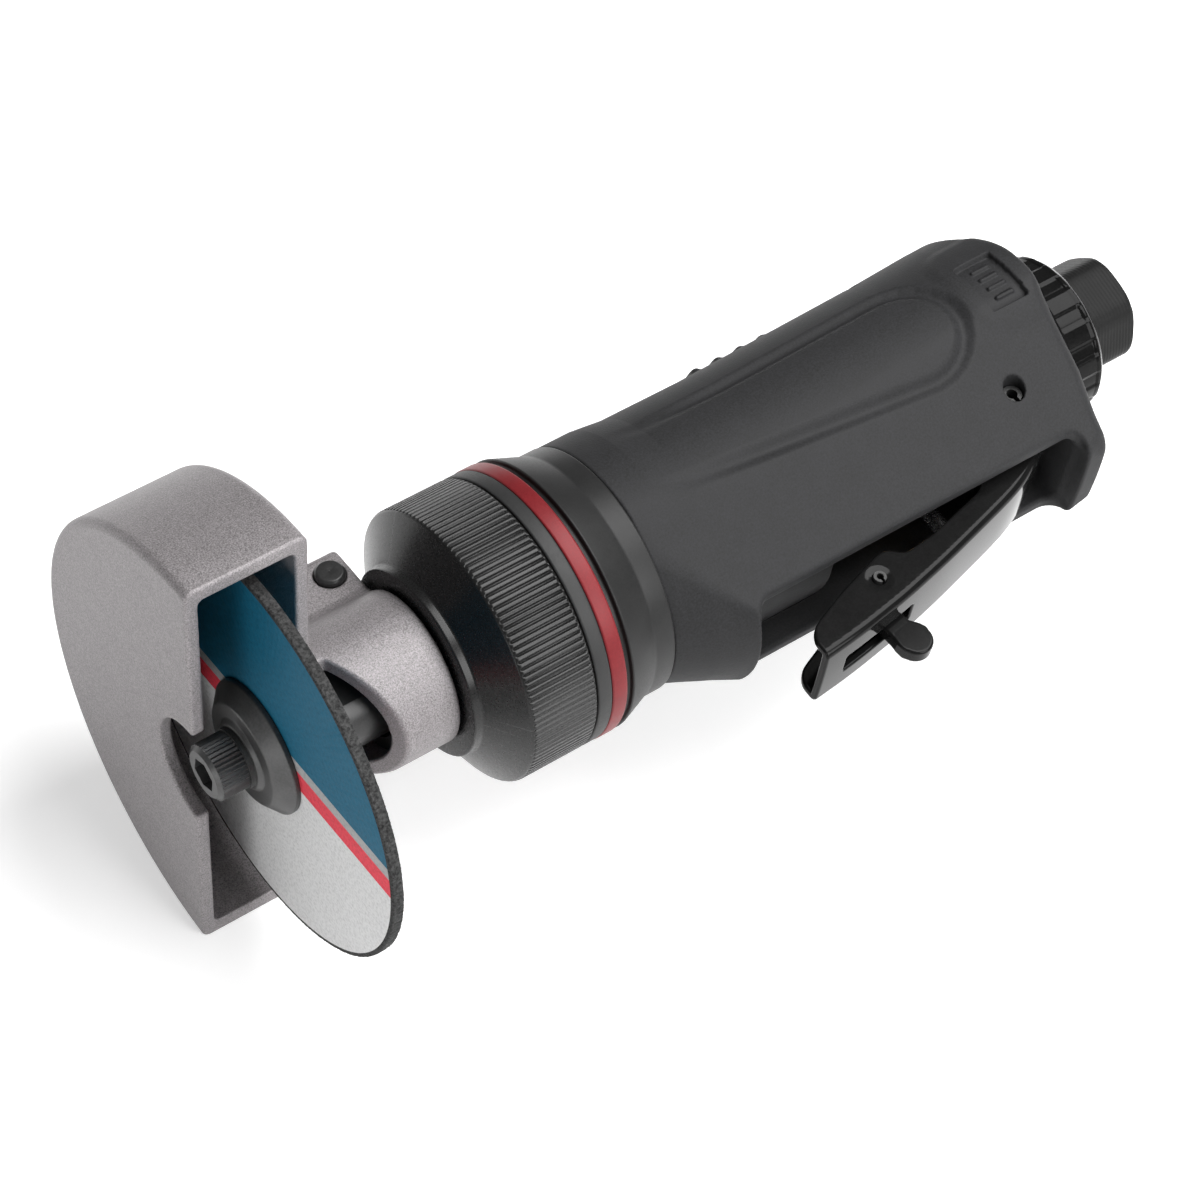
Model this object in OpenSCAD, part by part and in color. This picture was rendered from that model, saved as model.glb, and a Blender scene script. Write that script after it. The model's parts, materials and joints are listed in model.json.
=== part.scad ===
// Pneumatic cut-off tool with a 75 mm disc, a turnable guard and a lever throttle.
// X runs along the spindle from the disc to the air inlet, the lever hangs to -Y,
// and Z is square to the side of the grip. The origin is the mouth of the inlet.

/* [Disc and clamp] */
// diameter of the cutting disc
disc_d = 75; // [60:1:80]
// thickness of the cutting disc
disc_t = 2.0; // [1:0.1:3]
// diameter of the hole in the disc
disc_bore_d = 10; // [8:0.5:11]
// diameter of the two clamp flanges
flange_d = 23.6; // [20:0.2:28]
// thickness of the inner clamp flange
inner_flange_t = 5.0; // [3:0.5:6]
// thickness of the outer clamp flange
outer_flange_t = 4.0; // [3:0.1:5]
// diameter of the head of the disc screw
screw_head_d = 10; // [8:0.2:11]
// height of the head of the disc screw
screw_head_h = 6.4; // [5:0.1:7]
// height of the plain collar under the head of the disc screw
screw_collar_h = 0.9; // [0.6:0.1:1.2]
// thread diameter of the disc screw
screw_d = 6; // [5:0.5:6]
// reach of the disc screw behind the disc
screw_reach = 12; // [10:0.5:13]
// width across flats of the socket in the disc screw
socket_af = 5; // [4:0.5:5]
// depth of the socket in the disc screw
socket_depth = 3.4; // [3:0.1:4]

/* [Guard] */
// radial gap between the disc and the guard
disc_clear = 4.1; // [3:0.1:6]
// wall thickness of the guard
guard_wall = 2.4; // [2:0.1:3.2]
// distance from the disc to the front face of the guard
guard_front_reach = 12; // [11.2:0.1:14]
// distance from the disc to the rear face of the guard
guard_rear_reach = 7.6; // [7.4:0.1:9]
// turn of the guard from square with the lever
guard_angle = -6.3; // [-40:0.1:40]
// outer diameter of the clamp sleeve
sleeve_d = 27; // [26:0.2:30]
// depth of the slanted mouth of the sleeve
sleeve_mouth = 7.0; // [5:0.2:8]
// thickness of the two clamp ears together with the slit
ears_w = 12.4; // [10:0.2:14]
// height of the clamp ears above the spindle axis
ears_h = 22.4; // [20:0.2:24]
// thread diameter of the guard clamp screw
clamp_screw_d = 3; // [2.5:0.5:4]
// diameter of the head of the guard clamp screw
clamp_head_d = 5.2; // [5:0.1:6]
// distance of the guard clamp screw from the top and the rear of the ears
clamp_inset = 3.8; // [3.6:0.1:4.2]

/* [Front end] */
// diameter of the knurled nut
nut_d = 48.6; // [46:0.2:52]
// length of the knurled band
knurl_len = 12.7; // [10:0.1:15]
// length of the cone in front of the knurled band
nut_cone_len = 4.3; // [3:0.1:5]
// length of the plain collar in front of the nut
collar_len = 1.6; // [1:0.1:3]
// diameter of the plain collar in front of the nut
collar_d = 33.4; // [31:0.2:36]
// reach from the collar to the back of the disc
disc_reach = 27.4; // [26.5:0.1:30]
// width of the matt spacer ring
spacer_w = 2.7; // [2:0.1:4]
// width of the red ring
red_ring_w = 2.9; // [2:0.1:4]
// how far the red ring stands proud of the spacer ring
red_ring_proud = 0.1; // [0:0.05:0.5]
// length of the flange of the motor housing
flange_len = 11.2; // [9:0.1:14]
// diameter of the neck that carries the guard
neck_d = 20.8; // [19.6:0.1:21.4]
// length of the neck inside the guard sleeve
neck_len = 9.7; // [9:0.1:10.5]
// diameter of the bore of the neck
neck_bore_d = 16.4; // [15.8:0.1:16.6]
// width of the spindle seal in the neck
seal_w = 3; // [2:0.1:3.5]

/* [Grip] */
// length of the grip
grip_len = 88; // [84:0.5:96]
// diameter of the round back of the grip near the front
grip_d = 42.4; // [41.8:0.1:44]
// diameter of the round back of the grip at the rear
grip_rear_d = 46.4; // [45:0.2:48]
// depth of the chin below the axis, in front of the lever
chin_drop = 28; // [26.8:0.1:28.6]
// length of the chin
chin_len = 13.5; // [13:0.1:15]
// depth of the heel below the axis, behind the lever
heel_drop = 27.8; // [27.2:0.1:29]
// length of the heel
heel_len = 6.5; // [6:0.1:9]
// depth of the rims of the lever bay below the axis
rim_drop = 23.8; // [23:0.1:24.6]
// width of the lever bay
bay_w = 17.2; // [16.6:0.1:18]
// depth of the roof of the lever bay below the axis
roof_drop = 8; // [7.5:0.1:8.5]
// depth of the inlet bush in the grip
bush_seat = 7.4; // [7:0.1:7.6]
// diameter of the motor tube inside the grip
motor_tube_d = 38; // [37.4:0.1:38.4]

/* [Lever] */
// width of the throttle lever
lever_w = 14.2; // [12:0.1:15]
// length of the throttle lever ahead of its pivot
lever_len = 54.8; // [53:0.2:56]
// depth of the tip of the throttle lever below its pivot
lever_depth = 21.2; // [20:0.1:22]
// sheet thickness of the throttle lever
lever_t = 1.5; // [1.2:0.1:1.8]
// distance of the lever pivot in front of the rear face of the grip
pivot_back = 14.1; // [13:0.1:15]
// depth of the lever pivot below the axis
pivot_drop = 14.4; // [13.6:0.1:15]
// diameter of the lever pivot pin
pivot_d = 3.5; // [3:0.1:4]
// length of the lever pivot pin
pivot_len = 29; // [26:0.5:30]
// distance of the latch pin in front of the lever pivot
latch_reach = 38.2; // [37.4:0.1:38.8]
// depth of the latch pin below the lever pivot
latch_drop = 14.6; // [14.2:0.1:15]
// diameter of the latch pin
latch_pin_d = 2.2; // [2:0.1:3]
// thickness of the latch plate
latch_t = 2.8; // [2:0.1:3]
// length of the latch below its pin
latch_len = 13; // [12.6:0.1:14]

/* [Inlet] */
// visible length of the hexagon of the inlet bush
hex_len = 11.3; // [10:0.1:14]
// width across flats of the inlet bush
hex_af = 18.2; // [17:0.1:19]
// turn of the hexagon of the inlet bush
hex_turn = 12; // [0:1:60]
// core diameter of the G1/4 inlet thread
inlet_d = 11.445; // [11.4:0.005:11.9]
// length of the inlet thread
inlet_len = 12; // [10:0.5:14]
// diameter of the shank of the inlet bush
shank_d = 18.4; // [17.5:0.1:19]
// visible length of the regulator ring
ring_len = 10.7; // [9:0.1:14]
// diameter of the regulator ring
ring_d = 29.2; // [28:0.2:31]
// diameter of the rear end of the regulator ring
ring_rear_d = 27.4; // [26:0.1:28.4]
// length of the dome at the rear of the regulator ring
dome_len = 0.9; // [0.6:0.1:2]
// depth of the regulator ring in the grip
ring_pocket = 3.5; // [3:0.1:3.8]

/* [Motor] */
// outer diameter of the motor cylinder
cylinder_d = 35; // [34.6:0.1:35.2]
// bore of the motor cylinder
cylinder_bore = 28; // [27.6:0.1:28.4]
// length of the motor cylinder
cylinder_len = 34; // [33:0.1:34.4]
// diameter of the rotor
rotor_d = 24.2; // [23:0.1:24.4]
// thickness of a rotor vane
vane_t = 2.5; // [2:0.1:3]
// thickness of an end plate
plate_t = 4; // [3.5:0.1:4.2]
// outer diameter of the front bearing
front_bearing_d = 26; // [24:0.5:27]
// bore of the front bearing
front_bearing_bore = 10; // [9:0.5:10.5]
// width of the front bearing
front_bearing_w = 8; // [7:0.5:8]
// outer diameter of the rear bearing
rear_bearing_d = 19; // [18:0.5:20]
// bore of the rear bearing
rear_bearing_bore = 6; // [5:0.5:6.5]
// width of the rear bearing
rear_bearing_w = 6; // [5:0.5:6]

/* [Valve] */
// distance of the valve in front of the lever pivot
valve_reach = 18.7; // [18:0.1:20]
// diameter of the valve stem
stem_d = 3; // [2.5:0.1:3.5]
// diameter of the head of the valve stem
stem_head_d = 8; // [7.6:0.1:8.4]
// thickness of the head of the valve stem
stem_head_t = 1.6; // [1.2:0.1:1.8]
// thickness of the valve seal
valve_seal_t = 0.8; // [0.6:0.1:1]
// diameter of the valve bush
valve_bush_d = 12.6; // [12:0.1:13]
// full squeeze of the lever in degrees
squeeze = 8; // [6:0.5:9]
// wire diameter of the valve spring
spring_wire = 0.8; // [0.6:0.05:0.9]
// wire diameter of the latch spring
coil_wire = 0.6; // [0.5:0.05:0.7]

/* [Fits] */
// radial clearance of a part that turns or slides on another
run = 0.07; // [0.03:0.01:0.1]
// radial clearance of parts that are fitted for good
fit = 0.04; // [0.02:0.01:0.08]
// gap between parts that move past each other
gap = 0.35; // [0.3:0.05:0.5]

/* [Hidden] */
$fn = 72;
// stations along the tool, from the inlet to the disc
x_ring_rear = -hex_len;
x_grip_rear = x_ring_rear - ring_len;
x_grip_front = x_grip_rear - grip_len;
x_flange_front = x_grip_front - flange_len;
x_red_front = x_flange_front - red_ring_w;
x_nut_rear = x_red_front - spacer_w;
x_knurl_front = x_nut_rear - knurl_len;
x_nut_front = x_knurl_front - nut_cone_len;
x_collar_front = x_nut_front - collar_len;
x_sleeve_rear = x_collar_front - gap;
x_neck_front = x_sleeve_rear - neck_len;
x_disc_back = x_collar_front - disc_reach;
x_disc_front = x_disc_back - disc_t;
x_guard_front = x_disc_front - guard_front_reach;
x_guard_rear = x_disc_back + guard_rear_reach;
x_flange_back = x_disc_back + inner_flange_t;
x_screw_seat = x_disc_front - outer_flange_t;
x_screw_front = x_screw_seat - screw_head_h;
// stations of the motor
nut_web = 5;
nose_floor = 1.6;
play = 0.2;
x_nose_front = x_nut_front + nut_web;
x_front_bearing = x_nose_front + nose_floor + play;
x_plate_front = x_front_bearing + front_bearing_w + play;
x_cyl_front = x_plate_front + plate_t;
x_cyl_rear = x_cyl_front + cylinder_len;
x_plate_rear = x_cyl_rear + plate_t;
x_bearing_rear = x_plate_rear + rear_bearing_w;
tube_floor = 2;
x_tube_wall = x_bearing_rear + 1.5;
x_tube_rear = x_tube_wall + tube_floor;
x_cover_rear = x_tube_rear + 1.1;
// radii of the motor and the spindle
thread_r = motor_tube_d / 2;
neck_bore_r = neck_bore_d / 2;
journal_r = neck_bore_r - 1.2;
collar_r = neck_bore_r - 0.6;
seat_r = front_bearing_bore / 2;
tail_r = rear_bearing_bore / 2;
shoulder_r = tail_r + 0.8;
eccentric = cylinder_bore / 2 - rotor_d / 2 - gap;
ball_share = 8;
front_ball_r = (front_bearing_d - front_bearing_bore) / ball_share;
front_pitch_r = (front_bearing_d + front_bearing_bore) / 4;
rear_ball_r = (rear_bearing_d - rear_bearing_bore) / ball_share;
rear_pitch_r = (rear_bearing_d + rear_bearing_bore) / 4;
nose_ring_r = 0.8;
x_nose_ring = x_nose_front + 5;
dowel_r = 1.5;
dowel_y = cylinder_d / 2 - 2.6;
// guard
rim_extra = 0.4;
guard_r = disc_d / 2 + disc_clear + guard_wall + rim_extra;
x_clamp = x_sleeve_rear - clamp_inset;
y_clamp = ears_h - clamp_inset;
clamp_spot = 0.6;
// lever, latch and valve
x_pivot = x_grip_rear - pivot_back;
y_pivot = -pivot_drop;
x_latch = x_pivot - latch_reach;
y_latch = y_pivot - latch_drop;
x_valve = x_pivot - valve_reach;
x_bay_front = x_grip_front + chin_len;
x_bay_rear = x_grip_rear - heel_len;
y_roof = -roof_drop;
y_rim = -rim_drop;
y_chamber = 6.2;
y_seat = y_roof + 5;
y_head = y_seat + gap + valve_seal_t;
bush_drop = 3.4;
valve_ring_r = 0.7;
// inlet
shank_ring_r = 0.7;
x_shank_ring = x_grip_rear + 6;
strainer_t = 0.8;
x_strainer = -inlet_len - play - strainer_t;

// helpers: solids along the X axis
module rod(x0, x1, d) {
  translate([x0, 0, 0]) rotate([0, 90, 0]) cylinder(d = d, h = x1 - x0);
}

module tube(x0, x1, d, bore) {
  difference() {
    rod(x0, x1, d);
    rod(x0 - 1, x1 + 1, bore);
  }
}

// a turned solid from [radius, x] points
module turned(points) {
  rotate([0, 90, 0]) rotate_extrude() polygon(points);
}

// a sheet of [y, z] points drawn along X
module along_x(x0, len) {
  translate([x0, 0, 0]) rotate([90, 0, 90]) linear_extrude(height = len) children();
}

// points of an arc in a plane
function arc(c, r, a0, a1, n) =
  [for (i = [0:n]) let (a = a0 + (a1 - a0) * i / n) c + r * [cos(a), sin(a)]];

// a ring of round wire about the X axis
module o_ring(x, mid_r, wire_r) {
  rotate([0, 90, 0]) rotate_extrude() translate([mid_r, x]) circle(r = wire_r, $fn = 24);
}

// an unbroken coil of round wire about the Z axis, from z0 to z1
module coil(mid_r, wire_r, z0, z1, turns) {
  sides = 6;
  rings = round(turns * 10);
  pitch = (z1 - z0) / turns;
  lead = atan2(pitch, 2 * PI * mid_r);
  function at(i, k) =
    let (a = 360 * turns * i / rings, b = 360 * k / sides)
    let (u = cos(b) * wire_r, v = sin(b) * wire_r, out = mid_r + u)
    [out * cos(a) + v * sin(lead) * sin(a), out * sin(a) - v * sin(lead) * cos(a),
     z0 + (z1 - z0) * i / rings + v * cos(lead)];
  function skin(i, k) = let (n = (k + 1) % sides)
    [i * sides + k, (i + 1) * sides + k, (i + 1) * sides + n, i * sides + n];
  first = [for (k = [0:sides - 1]) k];
  last = [for (k = [sides - 1:-1:0]) rings * sides + k];
  polyhedron(points = [for (i = [0:rings]) for (k = [0:sides - 1]) at(i, k)],
    faces = concat([for (i = [0:rings - 1]) for (k = [0:sides - 1]) skin(i, k)], [first, last]),
    convexity = 8);
}

// a bearing: outer race, inner race, and the balls in their cage
race_depth = 0.55;
cage_depth = 0.3;
ball_count = 8;

module race_outer(x0, w, d, ball_r, pitch_r) {
  difference() {
    tube(x0, x0 + w, d, 2 * (pitch_r + race_depth * ball_r));
    o_ring(x0 + w / 2, pitch_r, ball_r + run);
  }
}

module race_inner(x0, w, bore, ball_r, pitch_r) {
  difference() {
    tube(x0, x0 + w, 2 * (pitch_r - race_depth * ball_r), bore);
    o_ring(x0 + w / 2, pitch_r, ball_r + run);
  }
}

module ball_set(x0, w, ball_r, pitch_r) {
  x_mid = x0 + w / 2;
  for (i = [0:ball_count - 1])
    rotate([360 * i / ball_count, 0, 0]) translate([x_mid, pitch_r, 0]) sphere(r = ball_r, $fn = 32);
  tube(x_mid - ball_r / 2, x_mid + ball_r / 2, 2 * (pitch_r + cage_depth * ball_r),
    2 * (pitch_r - cage_depth * ball_r));
}

// disc end
module knurled_sheet(d, teeth, depth) {
  polygon([for (i = [0:2 * teeth - 1])
    (d / 2 - (i % 2) * depth) * [cos(180 * i / teeth), sin(180 * i / teeth)]]);
}

module disc_screw() {
  r = screw_head_d / 2;
  edge = 0.7;
  teeth = 40;
  knurl = 0.28;
  color("#b9bcc0") difference() {
    union() {
      along_x(x_screw_front + edge, screw_head_h - edge - screw_collar_h)
        knurled_sheet(screw_head_d, teeth, knurl);
      turned([[0, x_screw_front], [r - 0.9, x_screw_front], [r - 0.25, x_screw_front + edge],
        [0, x_screw_front + edge]]);
      rod(x_screw_seat - screw_collar_h, x_screw_seat, screw_head_d + 2 * knurl);
      rod(x_screw_seat, x_disc_back + screw_reach, screw_d);
    }
    translate([x_screw_front - 1, 0, 0]) rotate([0, 90, 0])
      cylinder(d = socket_af / cos(30), h = socket_depth + 1, $fn = 6);
  }
}

module outer_flange() {
  r = flange_d / 2;
  bore_r = screw_d / 2 + fit;
  boss_r = screw_head_d / 2 + 1.4;
  rim_t = 0.9;
  step_t = outer_flange_t - 0.7;
  color("#a8abae") difference() {
    turned([[bore_r, x_disc_front], [r, x_disc_front], [r, x_disc_front - rim_t],
      [r - 0.4, x_disc_front - rim_t - 0.3], [r - 2.7, x_disc_front - step_t + 0.1],
      [r - 3.1, x_disc_front - step_t], [boss_r, x_disc_front - step_t],
      [boss_r - 0.7, x_screw_seat], [bore_r, x_screw_seat]]);
    rod(x_disc_front - 0.8, x_disc_front + 1, disc_bore_d + 2);
  }
}

module cutting_disc() {
  color("#3a3a3c") tube(x_disc_front, x_disc_back, disc_d, disc_bore_d);
}

module inner_flange() {
  r = flange_d / 2;
  b = disc_bore_d / 2;
  rim_t = 1.6;
  color("#8d9094") turned([[b, x_disc_back], [r, x_disc_back], [r, x_disc_back + rim_t],
    [r - 2.5, x_flange_back], [b, x_flange_back]]);
}

// guard: half drum, split sleeve and clamp ears
module guard() {
  inner_r = guard_r - guard_wall - rim_extra;
  edge_r = 1.6;
  root_r = 1.2;
  notch_r = screw_head_d / 2 + 5.5;
  bore_r = neck_d / 2 + run;
  xf = x_guard_front;
  xr = x_guard_rear;
  x_web = xr - guard_wall;
  x_mouth = xr + 2.2;
  x_lip = x_mouth + sleeve_mouth;
  slit = 1.4;
  color("#9b9da0") rotate([guard_angle, 0, 0]) difference() {
    union() {
      rotate([0, 90, 0]) rotate_extrude(angle = 180) polygon(concat(
        [[notch_r, xf]],
        arc([guard_r - edge_r, xf + edge_r], edge_r, -90, 0, 5),
        arc([guard_r - edge_r, xr - edge_r], edge_r, 0, 90, 5),
        [[bore_r + 1, xr], [bore_r + 1, x_web]],
        arc([inner_r - root_r, x_web - root_r], root_r, 90, 0, 4),
        arc([inner_r - root_r, xf + guard_wall + root_r], root_r, 0, -90, 4),
        [[notch_r, xf + guard_wall]]));
      rod(x_web, x_sleeve_rear, sleeve_d);
      translate([x_web, 0, -ears_w / 2]) cube([x_sleeve_rear - x_web, ears_h, ears_w]);
    }
    rod(x_web - 1, x_sleeve_rear + 1, 2 * bore_r);
    // slit between the ears
    translate([xr, 0, -slit / 2]) cube([x_sleeve_rear - xr + 1, ears_h + 1, slit]);
    // slanted mouth under the spindle
    translate([0, 0, -sleeve_d]) linear_extrude(height = 2 * sleeve_d)
      polygon([[x_web - 1, 0], [x_mouth, 0], [x_lip, -sleeve_d / 2], [x_lip, -sleeve_d],
        [x_web - 1, -sleeve_d]]);
    // hole and spot face of the clamp screw
    translate([x_clamp, y_clamp, -ears_w]) cylinder(d = clamp_screw_d + 2 * fit, h = 2 * ears_w);
    translate([x_clamp, y_clamp, ears_w / 2 - clamp_spot]) cylinder(d = clamp_head_d + 1, h = ears_w);
  }
}

module guard_clamp_screw() {
  head_h = 1.7;
  z_seat = ears_w / 2 - clamp_spot;
  z_end = 1 - ears_w / 2;
  color("#2b2c2e") rotate([guard_angle, 0, 0]) translate([x_clamp, y_clamp, 0]) difference() {
    union() {
      translate([0, 0, z_seat]) cylinder(d = clamp_head_d, h = head_h);
      translate([0, 0, z_end]) cylinder(d = clamp_screw_d, h = z_seat - z_end + 0.1);
    }
    translate([0, 0, z_seat + 0.6]) cylinder(d = 0.45 * clamp_head_d, h = head_h, $fn = 6);
  }
}

// spindle and its bearings
module spindle() {
  nose_r = disc_bore_d / 2 - fit;
  flats = 2 * collar_r - 2.2;
  flat_len = 7;
  x_collar = x_neck_front + 3;
  x_seat = x_nose_front + 0.6;
  x_tail = x_cyl_rear - gap;
  color("#5d6064") difference() {
    union() {
      rod(x_disc_front + play, x_flange_back, 2 * nose_r);
      rod(x_flange_back, x_collar, 2 * collar_r);
      rod(x_collar, x_seat, 2 * journal_r);
      rod(x_seat, x_tail, 2 * (seat_r - fit));
      rod(x_tail, x_plate_rear, 2 * shoulder_r);
      rod(x_plate_rear, x_bearing_rear, 2 * (tail_r - fit));
    }
    rod(x_disc_front - 1, x_disc_back + screw_reach + 2, screw_d + 2 * fit);
    for (m = [0, 1]) mirror([0, 0, m])
      translate([x_flange_back + 2.5, -collar_r, flats / 2]) cube([flat_len, 2 * collar_r, collar_r]);
  }
}

module spindle_seal() {
  x0 = x_neck_front + (neck_len - seal_w) * 0.8;
  color("#1b1b1d") tube(x0, x0 + seal_w, 2 * (neck_bore_r - fit), 2 * (journal_r + run));
}

module nose_piece() {
  seat_d = front_bearing_d + 2 * fit;
  color("#77797d") difference() {
    union() {
      rod(x_neck_front, x_nose_front + 1, neck_d);
      rod(x_nose_front, x_plate_front, cylinder_d);
    }
    rod(x_neck_front - 1, x_plate_front + 1, neck_bore_d);
    rod(x_nose_front + nose_floor, x_plate_front + 1, seat_d);
    o_ring(x_nose_ring, cylinder_d / 2, nose_ring_r);
  }
}

module nose_seal() {
  color("#151516") difference() {
    o_ring(x_nose_ring, cylinder_d / 2, nose_ring_r - fit);
    tube(x_nose_front, x_plate_front, cylinder_d + 10, cylinder_d);
  }
}

module clamp_nut() {
  r = nut_d / 2;
  c = collar_d / 2;
  bore_r = neck_d / 2 + play;
  edge = 0.5;
  teeth = 96;
  knurl = 0.45;
  shoulder = 0.3;
  color("#1d1d1f") difference() {
    union() {
      turned([[bore_r, x_collar_front], [c - edge, x_collar_front], [c, x_collar_front + edge],
        [c, x_nut_front], [r - shoulder, x_knurl_front], [r - shoulder, x_knurl_front + 1.2 * edge],
        [bore_r, x_knurl_front + 1.2 * edge]]);
      along_x(x_knurl_front + edge, knurl_len - 2 * edge) knurled_sheet(nut_d, teeth, knurl);
      rod(x_nut_rear - 1.2 * edge, x_nut_rear, nut_d - 2.6 * shoulder);
    }
    rod(x_nose_front - fit, x_nut_rear + 1, 2 * (thread_r + fit));
    rod(x_collar_front - 1, x_nut_rear + 1, 2 * bore_r);
  }
}

// a ring on the thread of the motor housing, with both outer edges broken
module thread_ring(x0, x1, r, edge) {
  bore_r = thread_r + fit;
  turned([[bore_r, x0], [r - edge, x0], [r, x0 + edge], [r, x1 - edge], [r - edge, x1], [bore_r, x1]]);
}

module spacer_ring() {
  color("#26272a") thread_ring(x_nut_rear, x_red_front, nut_d / 2, 0.25);
}

module red_ring() {
  color("#a8202c") thread_ring(x_red_front, x_flange_front, nut_d / 2 + red_ring_proud, 0.4);
}

module motor_housing() {
  bore_r = cylinder_d / 2 + fit;
  big_r = nut_d / 2 + play;
  small_r = grip_front_r + play;
  edge = 0.4;
  lip = 1.9;
  ease = 5.4;
  steps = 6;
  vent_d = 9;
  color("#202124") difference() {
    union() {
      turned(concat(
        [[0, x_flange_front], [big_r - edge, x_flange_front], [big_r, x_flange_front + edge]],
        [for (i = [0:steps]) let (t = i / steps)
          [small_r + (big_r - small_r) * pow(1 - t, 2), x_flange_front + lip + ease * t]],
        [[small_r, x_grip_front], [0, x_grip_front]]));
      rod(x_nose_front + 2, x_flange_front + 1, 2 * thread_r);
      rod(x_grip_front - 1, x_tube_rear, motor_tube_d);
    }
    rod(x_nose_front + 1, x_tube_wall, 2 * bore_r);
    rod(x_tube_wall - 1, x_tube_rear + 1, vent_d);
  }
}

module front_bearing_outer() {
  color("#c4c7ca") race_outer(x_front_bearing, front_bearing_w, front_bearing_d, front_ball_r, front_pitch_r);
}

module front_bearing_inner() {
  color("#c4c7ca")
    race_inner(x_front_bearing, front_bearing_w, front_bearing_bore, front_ball_r, front_pitch_r);
}

module front_bearing_balls() {
  color("#d5d7d9") ball_set(x_front_bearing, front_bearing_w, front_ball_r, front_pitch_r);
}

module rear_bearing_outer() {
  color("#c4c7ca") race_outer(x_plate_rear, rear_bearing_w, rear_bearing_d, rear_ball_r, rear_pitch_r);
}

module rear_bearing_inner() {
  color("#c4c7ca") race_inner(x_plate_rear, rear_bearing_w, rear_bearing_bore, rear_ball_r, rear_pitch_r);
}

module rear_bearing_balls() {
  color("#d5d7d9") ball_set(x_plate_rear, rear_bearing_w, rear_ball_r, rear_pitch_r);
}

// air motor
module dowel(r) {
  translate([0, dowel_y, 0]) rod(x_plate_front + 1, x_plate_rear - 1, 2 * r);
}

module dowel_pin() {
  color("#c0c3c6") dowel(dowel_r);
}

module front_end_plate() {
  color("#85888c") difference() {
    tube(x_plate_front, x_cyl_front, cylinder_d, 2 * (seat_r + gap));
    dowel(dowel_r + fit);
  }
}

module motor_cylinder() {
  color("#6f7276") difference() {
    rod(x_cyl_front, x_cyl_rear, cylinder_d);
    translate([0, -eccentric, 0]) rod(x_cyl_front - 1, x_cyl_rear + 1, cylinder_bore);
    dowel(dowel_r + fit);
  }
}

vane_count = 4;
vane_turn = 45;
slot_floor = seat_r + 1.4;

module rotor() {
  color("#6a6d71") difference() {
    tube(x_cyl_front + gap, x_cyl_rear - gap, rotor_d, 2 * seat_r);
    for (i = [0:vane_count - 1]) rotate([360 * i / vane_count + vane_turn, 0, 0])
      translate([x_cyl_front - 1, slot_floor, -vane_t / 2 - fit])
        cube([cylinder_len + 2, rotor_d, vane_t + 2 * fit]);
  }
}

module vanes() {
  height = rotor_d / 2 - slot_floor - 2 * fit;
  color("#6b4a2c") for (i = [0:vane_count - 1]) rotate([360 * i / vane_count + vane_turn, 0, 0])
    translate([x_cyl_front + gap, slot_floor + fit, -vane_t / 2])
      cube([cylinder_len - 2 * gap, height, vane_t]);
}

module rear_end_plate() {
  boss_d = rear_bearing_d + 4.4;
  color("#85888c") difference() {
    union() {
      rod(x_cyl_rear, x_plate_rear, cylinder_d);
      rod(x_cyl_rear, x_bearing_rear + play, boss_d);
    }
    rod(x_cyl_rear - 1, x_plate_rear + 1, 2 * (shoulder_r + gap));
    rod(x_plate_rear, x_bearing_rear + 1, rear_bearing_d + 2 * fit);
    dowel(dowel_r + fit);
  }
}

// grip: a round back, two flat flanks and a bowed lower face, drawn through stations along X
flank_turn = 118.8;
flank_r = grip_d / 2;
grip_front_r = flank_r + 0.7;
corner_r = 1.2;
heel_edge = 2.8;
x_heel = x_grip_rear - heel_edge;
// depth of the corner between flank and lower face
front_corner = 10.8;
chin_corner = chin_drop - 2.8;
heel_corner = heel_drop - 2;

// stations: [x, radius of the back, depth of the corner, depth of the lower face, inset]
grip_stations = concat([
  [x_grip_front, grip_front_r, front_corner, grip_front_r, 0],
  [x_grip_front + chin_len / 2, grip_front_r, (front_corner + chin_corner) / 2 + 0.9,
    (grip_front_r + chin_drop) / 2 + 0.5, 0],
  [x_bay_front - 0.8, flank_r + 0.01, chin_corner, chin_drop, 0],
  [x_grip_front + 0.33 * grip_len, flank_r + 0.02, chin_corner, chin_drop, 0],
  [x_grip_front + 0.57 * grip_len, grip_rear_d / 2 - 1.35, chin_corner, chin_drop, 0],
  [x_grip_front + 0.75 * grip_len, grip_rear_d / 2 - 0.9, chin_corner, chin_drop, 0],
  [x_bay_rear - 3, grip_rear_d / 2 - 0.24, heel_corner, heel_drop, 0]],
  [for (a = [0:30:90]) [x_heel + heel_edge * sin(a), grip_rear_d / 2, heel_corner, heel_drop,
    heel_edge * (1 - cos(a))]]);

function flank_z(y, d) = (d - y * cos(flank_turn)) / sin(flank_turn);
function bowed(k, low, e) = [-low + (low + e[0]) * k * k, k * e[1]];
function half_outline(r, d, e, low) =
  let (turn = flank_turn - acos(d / r), top = r * [cos(turn), sin(turn)])
  let (up = (top - e) / norm(top - e), k0 = 1 - corner_r / norm(e + [low, 0]))
  let (p = e + min(corner_r, 0.5 * norm(top - e)) * up, q = bowed(k0, low, e))
  concat(
    [for (i = [0:14]) r * [cos(turn * i / 14), sin(turn * i / 14)]],
    [for (i = [0:3]) let (k = i / 3) (1 - k) * (1 - k) * p + 2 * k * (1 - k) * e + k * k * q],
    [for (i = [1:5]) bowed(k0 * (1 - i / 5), low, e)]);
function station_outline(g) =
  let (d = flank_r - g[4], y = g[4] - g[2])
  let (h = half_outline(g[1] - g[4], d, [y, flank_z(y, d)], g[3] - g[4]), n = len(h))
  concat(h, [for (i = [n - 2:-1:1]) [h[i][0], -h[i][1]]]);

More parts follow.
